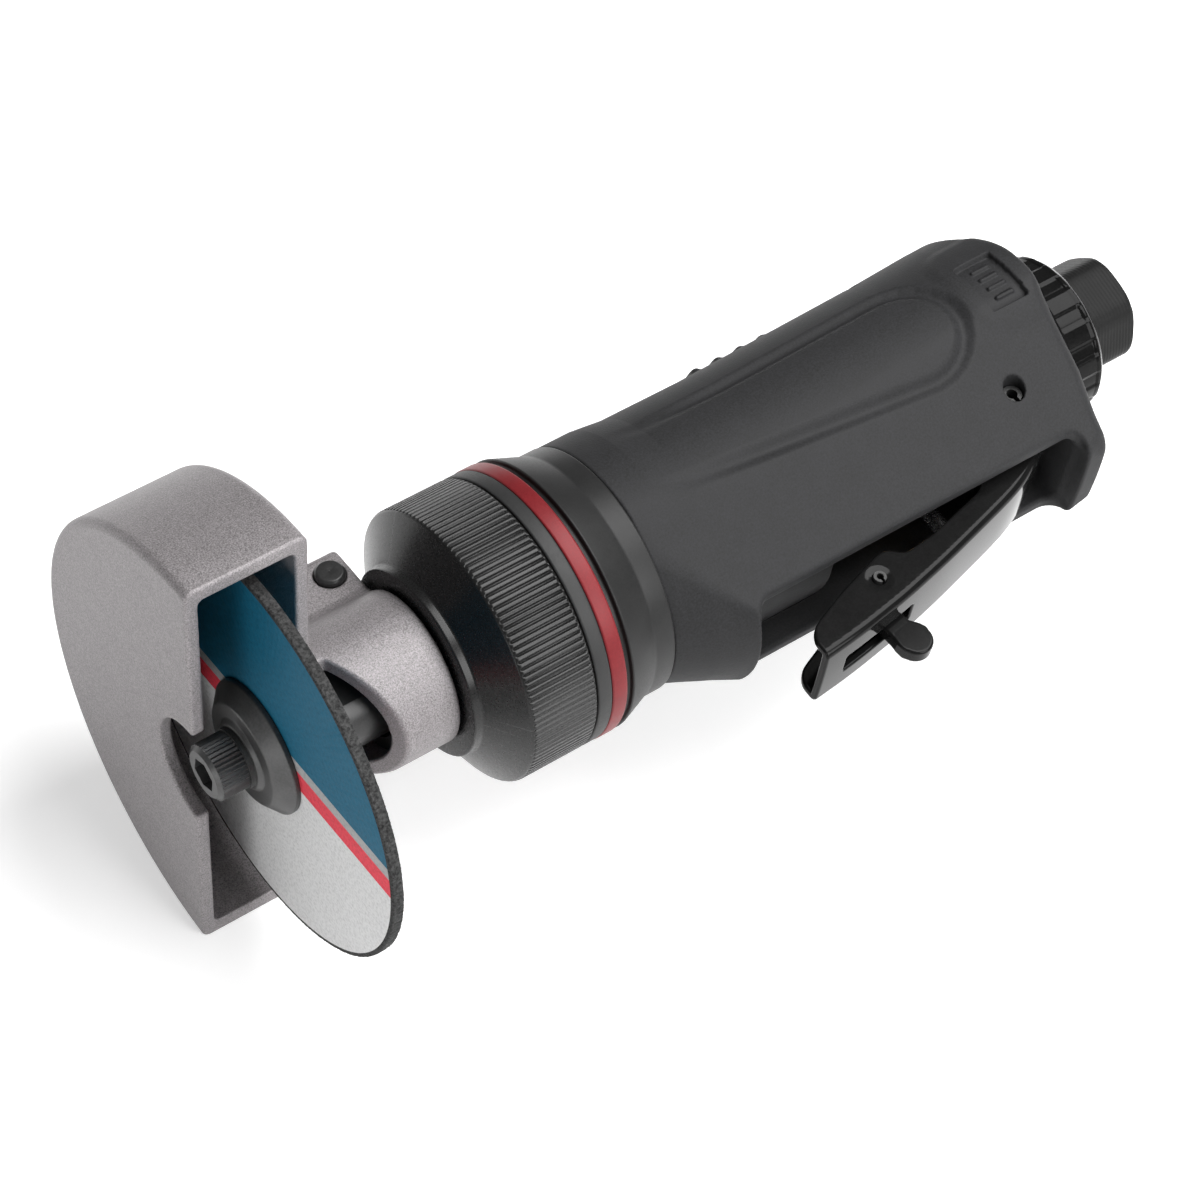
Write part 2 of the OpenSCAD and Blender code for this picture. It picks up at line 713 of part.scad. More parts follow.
module grip_body() {
  rings = [for (g = grip_stations) station_outline(g)];
  m = len(rings[0]);
  last = len(grip_stations) - 1;
  function at(k, i) = k * m + i % m;
  polyhedron(points = [for (k = [0:last]) for (q = rings[k]) [grip_stations[k][0], q[0], q[1]]],
    faces = concat(
      [for (k = [0:last - 1]) for (i = [0:m - 1]) [at(k, i), at(k + 1, i + 1), at(k, i + 1)]],
      [for (k = [0:last - 1]) for (i = [0:m - 1]) [at(k, i), at(k + 1, i), at(k + 1, i + 1)]],
      [[for (i = [0:m - 1]) i], [for (i = [m - 1:-1:0]) at(last, i)]]), convexity = 6);
}

// finger ridges on the back
module grip_ridges() {
  ridges = 4;
  pitch = 4.7;
  sweep = 48;
  for (i = [0:ridges - 1])
    rotate([-sweep / 2, 0, 0]) rotate([0, 90, 0]) rotate_extrude(angle = sweep)
      translate([grip_d / 2 + 0.1, x_grip_front + 31.2 + pitch * i]) circle(r = 1.1, $fn = 24);
}

module grip_housing() {
  far = 60;
  bay_len = x_bay_rear - x_bay_front;
  air_d = 8;
  color("#3b3d40") difference() {
    union() {
      grip_body();
      grip_ridges();
    }
    // seat of the motor tube
    rod(x_grip_front - 1, x_tube_rear + fit, motor_tube_d + 2 * fit);
    // lever bay under the motor cover, and all below its rims
    difference() {
      translate([x_bay_front, y_roof - far, -bay_w / 2]) cube([bay_len, far, bay_w]);
      rod(x_bay_front - 1, x_cover_rear, motor_tube_d + 3.2);
    }
    translate([x_bay_front, y_rim - far, -far / 2]) cube([bay_len, far, far]);
    // air way and valve chamber
    rod(x_tube_rear - 1, x_grip_rear, air_d);
    translate([x_valve, y_roof - 1, 0]) rotate([-90, 0, 0])
      cylinder(d = valve_bush_d + 2 * fit, h = y_chamber - y_roof + 1);
    // inlet bush and regulator ring
    rod(x_grip_rear - bush_seat, x_grip_rear + 1, shank_d + 2 * fit);
    rod(x_grip_rear - ring_pocket, x_grip_rear + 1, ring_d + 2 * gap);
    // pivot pin
    translate([x_pivot, y_pivot, -far / 2]) cylinder(d = pivot_d + 2 * fit, h = far);
  }
}

// throttle lever: pressed channel, drawn as a strip from flange to flange
// stations as shares of the lever: [length from the tip, depth of the web, depth of the flange edge]
lever_stations = [[0, 1, 0.82], [0.064, 1.014, 0.743], [0.164, 1.005, 0.643], [0.347, 0.948, 0.5],
  [0.383, 0.929, 0.495], [0.427, 0.91, 0.6], [0.547, 0.848, 0.571], [0.766, 0.686, 0.438],
  [0.958, 0.39, 0.02], [1.067, 0.133, -0.086]];
lever_x = [for (g = lever_stations) x_pivot - lever_len * (1 - g[0])];
lever_bottom = [for (g = lever_stations) y_pivot - lever_depth * g[1]];
lever_top = [for (g = lever_stations) y_pivot - lever_depth * g[2]];
lever_belly = 0.1;
lever_bend = 1.3;
lever_last = len(lever_stations) - 1;
function lever_floor(x) =
  lookup(x, [for (k = [0:lever_last]) [lever_x[k], lever_bottom[k]]]) + lever_t;

function strip(yb, yt, hw, bend) =
  let (low = yb + lever_belly, mid = (yt + low + bend) / 2)
  let (side = [for (i = [0:4]) let (a = 90 * i / 4) [low + bend * (1 - sin(a)), hw - bend * (1 - cos(a))]])
  concat([[yt, hw], [mid, hw]], side,
    [for (k = [0.6, 0, -0.6]) [yb + lever_belly * k * k, k * (hw - bend)]],
    [for (i = [4:-1:0]) [side[i][0], -side[i][1]]], [[mid, -hw], [yt, -hw]]);

module lever_channel() {
  hw = lever_w / 2;
  last = lever_last;
  outer = [for (k = [0:last]) strip(lever_bottom[k], lever_top[k], hw, lever_bend)];
  inner = [for (k = [0:last]) strip(lever_bottom[k] + lever_t, lever_top[k], hw - lever_t, lever_bend - 1)];
  m = len(outer[0]);
  pts = [for (k = [0:last]) for (q = concat(outer[k], inner[k])) [lever_x[k], q[0], q[1]]];
  function o(k, i) = 2 * m * k + i;
  function n(k, i) = 2 * m * k + m + i;
  faces = concat(
    [for (k = [0:last - 1]) for (i = [0:m - 2]) [o(k, i), o(k + 1, i), o(k + 1, i + 1), o(k, i + 1)]],
    [for (k = [0:last - 1]) for (i = [0:m - 2]) [n(k, i), n(k, i + 1), n(k + 1, i + 1), n(k + 1, i)]],
    [for (k = [0:last - 1]) [n(k, 0), n(k + 1, 0), o(k + 1, 0), o(k, 0)]],
    [for (k = [0:last - 1]) [o(k, m - 1), o(k + 1, m - 1), n(k + 1, m - 1), n(k, m - 1)]],
    [for (i = [0:m - 2]) [n(0, i), o(0, i), o(0, i + 1), n(0, i + 1)]],
    [for (i = [0:m - 2]) [n(last, i + 1), o(last, i + 1), o(last, i), n(last, i)]]);
  polyhedron(points = pts, faces = faces, convexity = 6);
}

module throttle_lever() {
  eye_wall = 2.4;
  eye_r = pivot_d / 2 + eye_wall;
  slot_w = latch_t + 4 * gap;
  slot_len = 15.6;
  slot_front = 11.2;
  color("#161618") difference() {
    union() {
      lever_channel();
      // eyes on the pivot pin
      for (m = [0, 1]) mirror([0, 0, m])
        translate([x_pivot, y_pivot, lever_w / 2 - lever_t]) cylinder(r = eye_r, h = lever_t);
    }
    translate([x_pivot, y_pivot, -lever_w]) cylinder(d = pivot_d + 2 * run, h = 2 * lever_w);
    translate([x_latch, y_latch, -lever_w]) cylinder(d = latch_pin_d + 2 * fit, h = 2 * lever_w);
    // slot for the latch tab
    translate([x_latch - slot_front, y_latch - lever_depth, -slot_w / 2])
      cube([slot_len, lever_depth - 3, slot_w]);
  }
}

// a slit spring pin along Z
module roll_pin(d, len) {
  bore = 0.56 * d;
  slit = 0.24 * d;
  difference() {
    translate([0, 0, -len / 2]) cylinder(d = d, h = len);
    translate([0, 0, -len]) cylinder(d = bore, h = 2 * len);
    translate([-slit / 2, -d, -len]) cube([slit, d, 2 * len]);
  }
}

module lever_pin() {
  color("#2c2d30") translate([x_pivot, y_pivot, 0]) roll_pin(pivot_d, pivot_len);
}

module latch_pin() {
  color("#2c2d30") translate([x_latch, y_latch, 0]) roll_pin(latch_pin_d, lever_w + 1);
}

module lock_off_latch() {
  hub_wall = 1.3;
  hub_r = latch_pin_d / 2 + hub_wall;
  toe_r = 0.23 * latch_len;
  toe = [0.09, -0.77] * latch_len;
  // outline of the tab in shares of its length
  tab = [[-0.18, -0.03], [0.18, -0.03], [0.18, -0.343], [0.19, -0.49], [0.27, -0.62],
    [0.3, -0.7], [0.09, -0.77], [-0.12, -0.82], [-0.15, -0.7], [-0.17, -0.4]];
  color("#141415") translate([x_latch, y_latch, -latch_t / 2]) difference() {
    union() {
      cylinder(r = hub_r, h = latch_t);
      linear_extrude(height = latch_t) polygon(latch_len * tab);
      translate([toe[0], toe[1], 0]) cylinder(r = toe_r, h = latch_t);
    }
    translate([0, 0, -1]) cylinder(d = latch_pin_d + 2 * run, h = latch_t + 2);
  }
}

module latch_spring() {
  mid_r = latch_pin_d / 2 + 0.75;
  z0 = latch_t / 2 + gap + coil_wire / 2;
  z1 = lever_w / 2 - lever_t - coil_wire / 2 - 0.1;
  turns = floor((z1 - z0) / (coil_wire + 0.45));
  echo("latch spring gap between turns", (z1 - z0) / turns - coil_wire);
  color("#7c7f83") translate([x_latch, y_latch, 0]) coil(mid_r, coil_wire / 2, z0, z1, turns);
}

// throttle valve, upright in the bay roof
module upright() {
  translate([x_valve, 0, 0]) rotate([-90, 0, 0]) children();
}

module valve_ring(wire_r) {
  rotate_extrude() translate([valve_bush_d / 2, y_seat - 2]) circle(r = wire_r, $fn = 24);
}

module valve_bush() {
  ports = 4;
  port_d = 1.6;
  height = y_seat - y_roof + bush_drop;
  color("#b08d4a") upright() difference() {
    translate([0, 0, y_seat - height]) cylinder(d = valve_bush_d, h = height);
    translate([0, 0, y_seat - 2 * height]) cylinder(d = stem_d + 2 * run, h = 3 * height);
    for (i = [0:ports - 1]) rotate([0, 0, 360 * (i + 0.5) / ports])
      translate([0.36 * valve_bush_d, 0, y_seat - 2 * height]) cylinder(d = port_d, h = 3 * height);
    valve_ring(valve_ring_r);
  }
}

module valve_bush_seal() {
  color("#151516") upright() difference() {
    valve_ring(valve_ring_r - fit);
    difference() {
      translate([0, 0, y_seat - 4]) cylinder(d = valve_bush_d + 10, h = 4);
      translate([0, 0, y_seat - 5]) cylinder(d = valve_bush_d, h = 6);
    }
  }
}

module valve_stem() {
  y_stem = lever_floor(x_valve + stem_d / 2) + gap;
  color("#9a9da1") upright() {
    translate([0, 0, y_stem]) cylinder(d = stem_d, h = y_head - y_stem + stem_head_t / 2);
    translate([0, 0, y_head]) cylinder(d = stem_head_d, h = stem_head_t);
  }
}

module valve_seal() {
  color("#151516") upright() difference() {
    translate([0, 0, y_head - valve_seal_t]) cylinder(d = stem_head_d - valve_seal_t, h = valve_seal_t);
    translate([0, 0, y_head - 2]) cylinder(d = stem_d + 2 * fit, h = 4);
  }
}

module valve_spring() {
  mid_r = (stem_head_d - spring_wire) / 2 - 0.7;
  z0 = y_head + stem_head_t + spring_wire / 2 + fit;
  z1 = y_chamber - spring_wire / 2 - fit;
  turns = 3;
  echo("valve spring gap between turns", (z1 - z0) / turns - spring_wire);
  color("#8a8d91") upright() coil(mid_r, spring_wire / 2, z0, z1, turns);
}

// inlet
module inlet_bush() {
  x_in = x_grip_rear - bush_seat + play;
  flat_r = hex_af / 2;
  turn_r = flat_r + 1.1;
  color("#4c4f53") difference() {
    union() {
      rod(x_in, x_ring_rear + 0.4, shank_d);
      intersection() {
        translate([x_ring_rear, 0, 0]) rotate([hex_turn, 0, 0]) rotate([0, 90, 0])
          cylinder(d = hex_af / cos(30), h = hex_len, $fn = 6);
        turned([[0, x_ring_rear - 1], [turn_r, x_ring_rear - 1], [turn_r, -1.2], [flat_r + 0.1, 0],
          [0, 0]]);
      }
    }
    rod(-inlet_len, 1, inlet_d);
    rod(x_strainer, -inlet_len + 1, inlet_d - 2.4);
    rod(x_in - 1, x_strainer + 1, inlet_d - 4);
    o_ring(x_shank_ring, shank_d / 2, shank_ring_r);
  }
}

module inlet_strainer() {
  hole_d = 1.7;
  holes = 6;
  color("#a9a7a0") difference() {
    rod(x_strainer, x_strainer + strainer_t, inlet_d - 2.4 - 2 * fit);
    for (i = [0:holes - 1]) rotate([360 * i / holes, 0, 0])
      translate([0, 2.6, 0]) rod(x_strainer - 1, x_strainer + 2, hole_d);
    rod(x_strainer - 1, x_strainer + 2, hole_d);
  }
}

module regulator_ring() {
  r = ring_d / 2;
  rear_r = ring_rear_d / 2;
  dome_r = r - 0.2;
  bore_r = shank_d / 2 + run;
  x0 = x_grip_rear - ring_pocket + gap;
  x1 = x_ring_rear - gap;
  x_dome = x1 - dome_len;
  x_waist = x_grip_rear + 3;
  waist = 0.9;
  lands = 14;
  land_w = 3.4;
  steps = 6;
  color("#121214") union() {
    turned(concat(
      [[bore_r, x0], [r - 0.4, x0], [r, x0 + 0.4], [r, x_waist - 0.4], [r - waist, x_waist],
        [r - waist, x_dome - 0.8], [dome_r, x_dome - 0.6]],
      [for (i = [0:steps]) let (t = i / steps)
        [dome_r - (dome_r - rear_r) * pow(t, 1.2), x_dome + dome_len * t]],
      [[bore_r, x1]]));
    // raised lands round the waist
    for (i = [0:lands - 1]) rotate([360 * i / lands, 0, 0])
      translate([x_waist - 0.5, r - 2.4, -land_w / 2]) cube([x_dome - x_waist + 0.3, 2.2, land_w]);
  }
}

module regulator_seal() {
  color("#151516") difference() {
    o_ring(x_shank_ring, shank_d / 2, shank_ring_r - fit);
    tube(x_shank_ring - 3, x_shank_ring + 3, shank_d + 10, shank_d);
  }
}

disc_screw();
outer_flange();
cutting_disc();
inner_flange();
guard();
guard_clamp_screw();
spindle();
spindle_seal();
nose_piece();
nose_seal();
clamp_nut();
spacer_ring();
red_ring();
motor_housing();
front_bearing_outer();
front_bearing_inner();
front_bearing_balls();
front_end_plate();
motor_cylinder();
rotor();
vanes();
rear_end_plate();
rear_bearing_outer();
rear_bearing_inner();
rear_bearing_balls();
dowel_pin();
grip_housing();
throttle_lever();
lever_pin();
lock_off_latch();
latch_pin();
latch_spring();
valve_bush();
valve_bush_seal();
valve_stem();
valve_seal();
valve_spring();
inlet_bush();
inlet_strainer();
regulator_ring();
regulator_seal();
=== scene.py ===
import json
import math

import bpy
import numpy as np
from mathutils import Matrix, Vector


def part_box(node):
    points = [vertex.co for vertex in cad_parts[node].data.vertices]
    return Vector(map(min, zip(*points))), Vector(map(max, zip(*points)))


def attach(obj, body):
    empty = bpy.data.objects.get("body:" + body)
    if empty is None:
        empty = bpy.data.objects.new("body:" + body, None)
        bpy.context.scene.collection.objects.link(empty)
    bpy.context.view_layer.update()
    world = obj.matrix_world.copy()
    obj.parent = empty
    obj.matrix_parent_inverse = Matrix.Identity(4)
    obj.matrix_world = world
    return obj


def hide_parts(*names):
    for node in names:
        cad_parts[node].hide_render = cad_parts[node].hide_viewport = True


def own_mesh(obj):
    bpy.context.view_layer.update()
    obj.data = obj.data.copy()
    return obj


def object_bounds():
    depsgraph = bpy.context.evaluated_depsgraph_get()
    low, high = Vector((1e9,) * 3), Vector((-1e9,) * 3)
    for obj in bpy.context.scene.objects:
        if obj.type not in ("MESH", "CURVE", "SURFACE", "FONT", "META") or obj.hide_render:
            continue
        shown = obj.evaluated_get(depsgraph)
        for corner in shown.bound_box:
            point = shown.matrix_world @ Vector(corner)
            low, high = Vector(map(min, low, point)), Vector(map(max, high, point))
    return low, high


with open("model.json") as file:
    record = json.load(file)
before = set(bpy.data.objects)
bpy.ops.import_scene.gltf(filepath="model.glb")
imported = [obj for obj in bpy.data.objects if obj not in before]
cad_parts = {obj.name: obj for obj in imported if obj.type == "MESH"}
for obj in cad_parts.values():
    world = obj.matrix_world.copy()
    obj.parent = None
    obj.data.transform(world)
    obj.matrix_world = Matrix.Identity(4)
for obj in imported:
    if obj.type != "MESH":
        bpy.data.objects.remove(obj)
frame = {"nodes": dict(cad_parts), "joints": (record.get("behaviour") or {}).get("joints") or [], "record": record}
CAD_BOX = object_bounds()
NODES = frame["nodes"]
JOINTS = {joint["name"]: joint for joint in frame["joints"]}
MM = 0.001


# sizes of the tool in millimetres, in the frame of the CAD model
def span(node):
    """Lowest and highest corner of a CAD node in millimetres."""
    low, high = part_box(node)
    return np.array(low) / MM, np.array(high) / MM


def joint_at(name):
    """Place of a joint in millimetres."""
    return np.array(JOINTS[name]["pos_m"]) / MM


GRIP_LOW, GRIP_HIGH = span("grip_housing")
GUARD_LOW, GUARD_HIGH = span("guard")
NUT_LOW, NUT_HIGH = span("clamp_nut")
DISC_LOW, DISC_HIGH = span("cutting_disc")
RING_LOW, RING_HIGH = span("regulator_ring")
BUSH_LOW, BUSH_HIGH = span("inlet_bush")
LEVER_LOW, LEVER_HIGH = span("throttle_lever")
FLANGE_LOW, FLANGE_HIGH = span("motor_housing")
RED_LOW, RED_HIGH = span("red_ring")
SPACER_LOW, SPACER_HIGH = span("spacer_ring")
PIVOT = joint_at("lever_squeeze")
LATCH = joint_at("latch_flip")
X_FRONT, X_REAR = GRIP_LOW[0], GRIP_HIGH[0]
DISC_R = DISC_HIGH[1]
NUT_R = NUT_HIGH[1]

# camera at the photograph's viewing angle
CAMERA_AT = Vector((-349.97, -240.55, 482.26)) * MM
CAMERA_LOOK = Vector((0.4043, 0.40095, -0.82206)).normalized()
CAMERA_UP = Vector((0.42780, 0.71143, 0.55756))
CAMERA_LENS = 108.0
CAMERA_SENSOR = 36.0
CAMERA_CLIP = 0.01, 50.0


def make_camera():
    data = bpy.data.cameras.new("camera")
    data.lens = CAMERA_LENS
    data.sensor_width = CAMERA_SENSOR
    data.clip_start, data.clip_end = CAMERA_CLIP
    camera = bpy.data.objects.new("camera", data)
    bpy.context.scene.collection.objects.link(camera)
    back = -CAMERA_LOOK
    side = CAMERA_UP.cross(back).normalized()
    up = back.cross(side)
    axes = Matrix((side, up, back)).transposed().to_4x4()
    axes.translation = CAMERA_AT
    camera.matrix_world = axes
    bpy.context.scene.camera = camera


# shapes as distances in millimetres, negative inside
def within(a, b, r):
    """What lies inside both shapes, its edge rounded by r."""
    u = np.maximum(a + r, 0)
    v = np.maximum(b + r, 0)
    return np.minimum(np.maximum(a, b), -r) + np.sqrt(u * u + v * v)


def joined(a, b, r):
    """What lies inside either shape, with a fillet of radius r between them."""
    u = np.maximum(r - a, 0)
    v = np.maximum(r - b, 0)
    return np.maximum(np.minimum(a, b), r) - np.sqrt(u * u + v * v)


def cut(a, b, r):
    """The first shape without the second, its edge rounded by r."""
    return within(a, -b, r)


def slab(v, low, high):
    """Distance to the layer between two values of a coordinate."""
    return np.abs(v - (low + high) / 2) - (high - low) / 2


def polygon_distance(u, v, points):
    """Distance to a closed outline in a plane."""
    u, v = np.broadcast_arrays(u, v)
    best = np.full(u.shape, np.inf, np.float32)
    odd = np.zeros(u.shape, bool)
    for (u0, v0), (u1, v1) in zip(points, points[1:] + points[:1]):
        du, dv = u1 - u0, v1 - v0
        t = np.clip(((u - u0) * du + (v - v0) * dv) / (du * du + dv * dv), 0, 1)
        best = np.minimum(best, (u - u0 - t * du) ** 2 + (v - v0 - t * dv) ** 2)
        over = (v0 > v) != (v1 > v)
        if dv:
            odd ^= over & (u < u0 + (v - v0) * du / dv)
    return np.where(odd, -1, 1) * np.sqrt(best)


def path_distance(u, v, points):
    """Distance to an open path in a plane."""
    best = np.full(np.broadcast(u, v).shape, np.inf, np.float32)
    for (u0, v0), (u1, v1) in zip(points, points[1:]):
        du, dv = u1 - u0, v1 - v0
        t = np.clip(((u - u0) * du + (v - v0) * dv) / (du * du + dv * dv), 0, 1)
        best = np.minimum(best, (u - u0 - t * du) ** 2 + (v - v0 - t * dv) ** 2)
    return np.sqrt(best)


def ease(t):
    """A smooth step from 0 to 1."""
    t = np.clip(t, 0, 1)
    return t * t * (3 - 2 * t)


def surface(shape, low, high, step):
    """Points and quads of a shape's surface, one point in each grid cell that it crosses."""
    axes = [np.arange(a - step, b + 2 * step, step, dtype=np.float32) for a, b in zip(low, high)]
    grid = np.meshgrid(*axes, indexing="ij", sparse=True)
    field = np.broadcast_to(shape(*grid), [len(a) for a in axes]).astype(np.float32)
    solid = field < 0
    corners = [(i, j, k) for i in (0, 1) for j in (0, 1) for k in (0, 1)]
    nx, ny, nz = (n - 1 for n in solid.shape)
    count = sum(solid[i:i + nx, j:j + ny, k:k + nz].astype(np.int8) for i, j, k in corners)
    cells = np.argwhere((count > 0) & (count < 8))
    number = np.full(count.shape, -1, np.int32)
    number[tuple(cells.T)] = np.arange(len(cells))
    total = np.zeros((len(cells), 3), np.float32)
    hits = np.zeros(len(cells), np.float32)
    for a in corners:
        for b in corners:
            if sum(q - p for p, q in zip(a, b)) == 1 and sum(p != q for p, q in zip(a, b)) == 1:
                fa = field[tuple((cells + a).T)]
                fb = field[tuple((cells + b).T)]
                crossed = (fa < 0) != (fb < 0)
                t = np.where(crossed, fa / np.where(fa == fb, 1, fa - fb), 0)[:, None]
                total += np.where(crossed[:, None], np.array(a) + t * np.subtract(b, a), 0)
                hits += crossed
    points = (cells + total / hits[:, None]) * step + [a[0] for a in axes]
    quads = []
    for axis in range(3):
        u, v = (axis + 1) % 3, (axis + 2) % 3
        before = np.moveaxis(solid, axis, 0)
        flips = np.argwhere(np.moveaxis(before[:-1] != before[1:], 0, axis))
        flips = flips[(flips[:, u] > 0) & (flips[:, v] > 0)]
        flips = flips[(flips[:, u] <= number.shape[u] - 1) & (flips[:, v] <= number.shape[v] - 1)]
        ring = []
        for du, dv in ((0, 0), (1, 0), (1, 1), (0, 1)):
            cell = flips.copy()
            cell[:, u] -= du
            cell[:, v] -= dv
            ring.append(number[tuple(cell.T)])
        ring = np.stack(ring, 1)
        outward = solid[tuple(flips.T)]
        quads.append(np.where(outward[:, None], ring, ring[:, ::-1]))
    return points, np.concatenate(quads)


def gradient(shape, points, h=0.02):
    """The shape's slope at each point, from steps of h to both sides."""
    slopes = []
    for axis in np.eye(3) * h:
        slopes.append((shape(*(points + axis).T) - shape(*(points - axis).T)) / (2 * h))
    return np.stack(slopes, 1)


def settle(shape, points, least_steep=0.25, most_move=0.2):
    """Points moved onto the surface of a shape, and the surface's direction there."""
    for _ in range(2):
        slope = gradient(shape, points)
        steep = np.maximum((slope ** 2).sum(1), least_steep)
        move = np.clip(shape(*points.T) / steep, -most_move, most_move)
        points = points - slope * move[:, None]
    slope = gradient(shape, points)
    return points, slope / np.maximum(np.linalg.norm(slope, axis=1), 1e-6)[:, None]


def new_object(name, points, faces):
    mesh = bpy.data.meshes.new(name)
    mesh.from_pydata((np.asarray(points) * MM).tolist(), [], np.asarray(faces).tolist())
    mesh.update()
    made = bpy.data.objects.new(name, mesh)
    bpy.context.scene.collection.objects.link(made)
    return made


def baked(made):
    """The object with its modifiers applied to its mesh."""
    bpy.context.view_layer.update()
    evaluated = made.evaluated_get(bpy.context.evaluated_depsgraph_get())
    mesh = bpy.data.meshes.new_from_object(evaluated)
    made.modifiers.clear()
    made.data = mesh
    return made


def sculpt(name, shape, low, high, step, keep):
    """A smooth mesh of a shape: sampled on a grid, thinned to a share, and set back on the surface."""
    points, quads = surface(shape, low, high, step)
    made = new_object(name, points, quads)
    if keep < 1:
        thin = made.modifiers.new("thin", "DECIMATE")
        thin.ratio = keep
        baked(made)
    mesh = made.data
    at = np.zeros(len(mesh.vertices) * 3, np.float32)
    mesh.vertices.foreach_get("co", at)
    at, facing = settle(shape, at.reshape(-1, 3).astype(np.float64) / MM)
    mesh.vertices.foreach_set("co", (at * MM).astype(np.float32).ravel())
    mesh.update()
    mesh.polygons.foreach_set("use_smooth", np.ones(len(mesh.polygons), bool))
    mesh.normals_split_custom_set_from_vertices(facing.tolist())
    return made


def softened(profile, edge, steps=3, most_share=0.45):
    """A closed outline with its corners rounded, as far as its sides allow."""
    made = []
    count = len(profile)
    for i in range(count):
        before, here, after = (Vector(profile[j % count]) for j in (i - 1, i, i + 1))
        reach = min(edge, most_share * (before - here).length, most_share * (after - here).length)
        p = here + (before - here).normalized() * reach
        q = here + (after - here).normalized() * reach
        for k in range(steps + 1):
            t = k / steps
            made.append(tuple((1 - t) ** 2 * p + 2 * t * (1 - t) * here + t * t * q))
    return made


# radius of a turned piece on its axis
AXIS_R = 0.01


def turned(name, profile, segments, relief=None):
    """A closed [x, radius] outline turned about the X axis; relief lowers the radius by angle."""
    xs, rs = np.array(profile).T
    angle = np.arange(segments) * 2 * math.pi / segments
    x = np.repeat(xs[None], segments, 0)
    r = np.repeat(rs[None], segments, 0)
    if relief:
        r = r - relief(x, r, angle[:, None])
    points = np.stack([x, r * np.cos(angle)[:, None], r * np.sin(angle)[:, None]], 2).reshape(-1, 3)
    n = len(xs)
    i, j = np.meshgrid(np.arange(segments), np.arange(n), indexing="ij")
    i1, j1 = (i + 1) % segments, (j + 1) % n
    faces = np.stack([i * n + j, i1 * n + j, i1 * n + j1, i * n + j1], 2).reshape(-1, 4)
    made = new_object(name, points, faces)
    made.data.polygons.foreach_set("use_smooth", np.ones(len(faces), bool))
    return made


def place(made, node, body, finish=None):
    """The piece stands for a CAD node, with its body and its material."""
    slot = next(row["material_slot"] for row in frame["record"]["subparts"] if row["node"] == node)
    made.data.materials.clear()
    made.data.materials.append(MATERIALS[finish or slot])
    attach(made, body)
    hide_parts(node)
    return made


# grip housing: a round back, two flat flanks and a bowed lower face
FLANK_TURN = math.radians(118.8)
FLANK_R = 21.2
MEET_EASE, MEET_RISE = 0.8, 0.12
UNROLL_R = 22
BAY_FRONT = X_FRONT + 13.5
BAY_REAR = X_REAR - 6.5
BAY_HALF = 8.6
BAY_CORNER_R = 2.0
ROOF_Y = -8.0
RIM_Y = -23.8
RIM_END_R = 2.6
TUBE_R = 19.04
COVER_R = 20.6
COVER_REAR = X_REAR - 54.2
COVER_LIP = 1.1
POCKET_R = RING_HIGH[1] + 0.35
POCKET_LEN = 3.5
PIN_HOLE_R, PIN_HOLE_END = 2.0, 11.0
# places along the grip, with the radius of the back and the depths of the corner and of the lower face
GRIP_X = [X_FRONT, X_FRONT + 6.75, BAY_FRONT - 0.8, X_FRONT + 29, X_FRONT + 50.2,
          X_FRONT + 66, BAY_REAR - 3, X_REAR]
BACK_R = [21.9, 21.9, 21.25, 21.22, 21.85, 22.3, 22.96, 23.2]
CORNER_DROP = [10.8, 18.9, 25.2, 25.2, 25.2, 25.2, 28.2, 28.2]
LOWER_DROP = [21.9, 25.45, 28.0, 28.0, 28.0, 28.0, 28.6, 28.6]
# radius of the lower corners, and what the heel adds to it
CORNER_R, HEEL_CORNER, HEEL_LEN = 0.6, 2.0, 5
# edge of the rear face, with what the back and the flanks add to it, and the lean of the heel
REAR_EDGE, BACK_EDGE, FLANK_EDGE = 1.3, 4.0, 1.7
HEEL_LEAN, HEEL_LEAN_Y = 0.15, -16
# finger ridges and a short slot on the back
RIDGES = [X_FRONT + 34.0 + 4.7 * i for i in range(4)]
RIDGE_R = 0.95
RIDGE_TURN = math.radians(24)
TOP_SLOT_X, TOP_SLOT_HALF = X_REAR - 21.8, 0.7
TOP_SLOT_TURN, TOP_SLOT_DEPTH = math.radians(34), 0.7
# groove on the flank: place and radius of its round end, its section, and where it fades in from the front
GROOVE_X, GROOVE_TURN, GROOVE_R = X_REAR - 26.4, math.radians(88), 9.8
GROOVE_DEPTH, GROOVE_HALF = 0.95, 2.3
GROOVE_LEAD, GROOVE_FADE = 4, 26
# pad on the flank at the rear, and the recess in it with plain bars
PAD_X, PAD_TURN = (X_REAR - 14.4, X_REAR + 6), (math.radians(54), math.radians(108))
PAD_CORNER_R, PAD_RISE, PAD_EASE = 6.0, 0.3, 2.6
RECESS_X, RECESS_TURN = (X_REAR - 11.2, X_REAR - 3.6), (math.radians(71), math.radians(98))
RECESS_DEPTH, RECESS_EASE = 1.1, 0.4
BARS, BAR_HALF, BAR_RISE = 4, 0.35, 0.5
BAR_X = (RECESS_X[0] + 2.2, RECESS_X[1] - 1.6)
# relief is laid only near the surface
RELIEF_REACH = 2.5


def grip_groove():
    """The groove's line on the unrolled flank, from its upper to its lower front end."""
    round_end = [math.radians(a) for a in range(-90, 91, 15)]
    mid = GROOVE_TURN * UNROLL_R
    end = [(GROOVE_X + GROOVE_R * math.cos(a), mid + GROOVE_R * math.sin(a)) for a in round_end]
    upper = [(X_FRONT + 3, mid - GROOVE_R + 0.5)]
    lower = [(X_FRONT + 44, mid + GROOVE_R - 1.6), (X_FRONT + 3, mid + GROOVE_R - 5.8)]
    return upper + end + lower


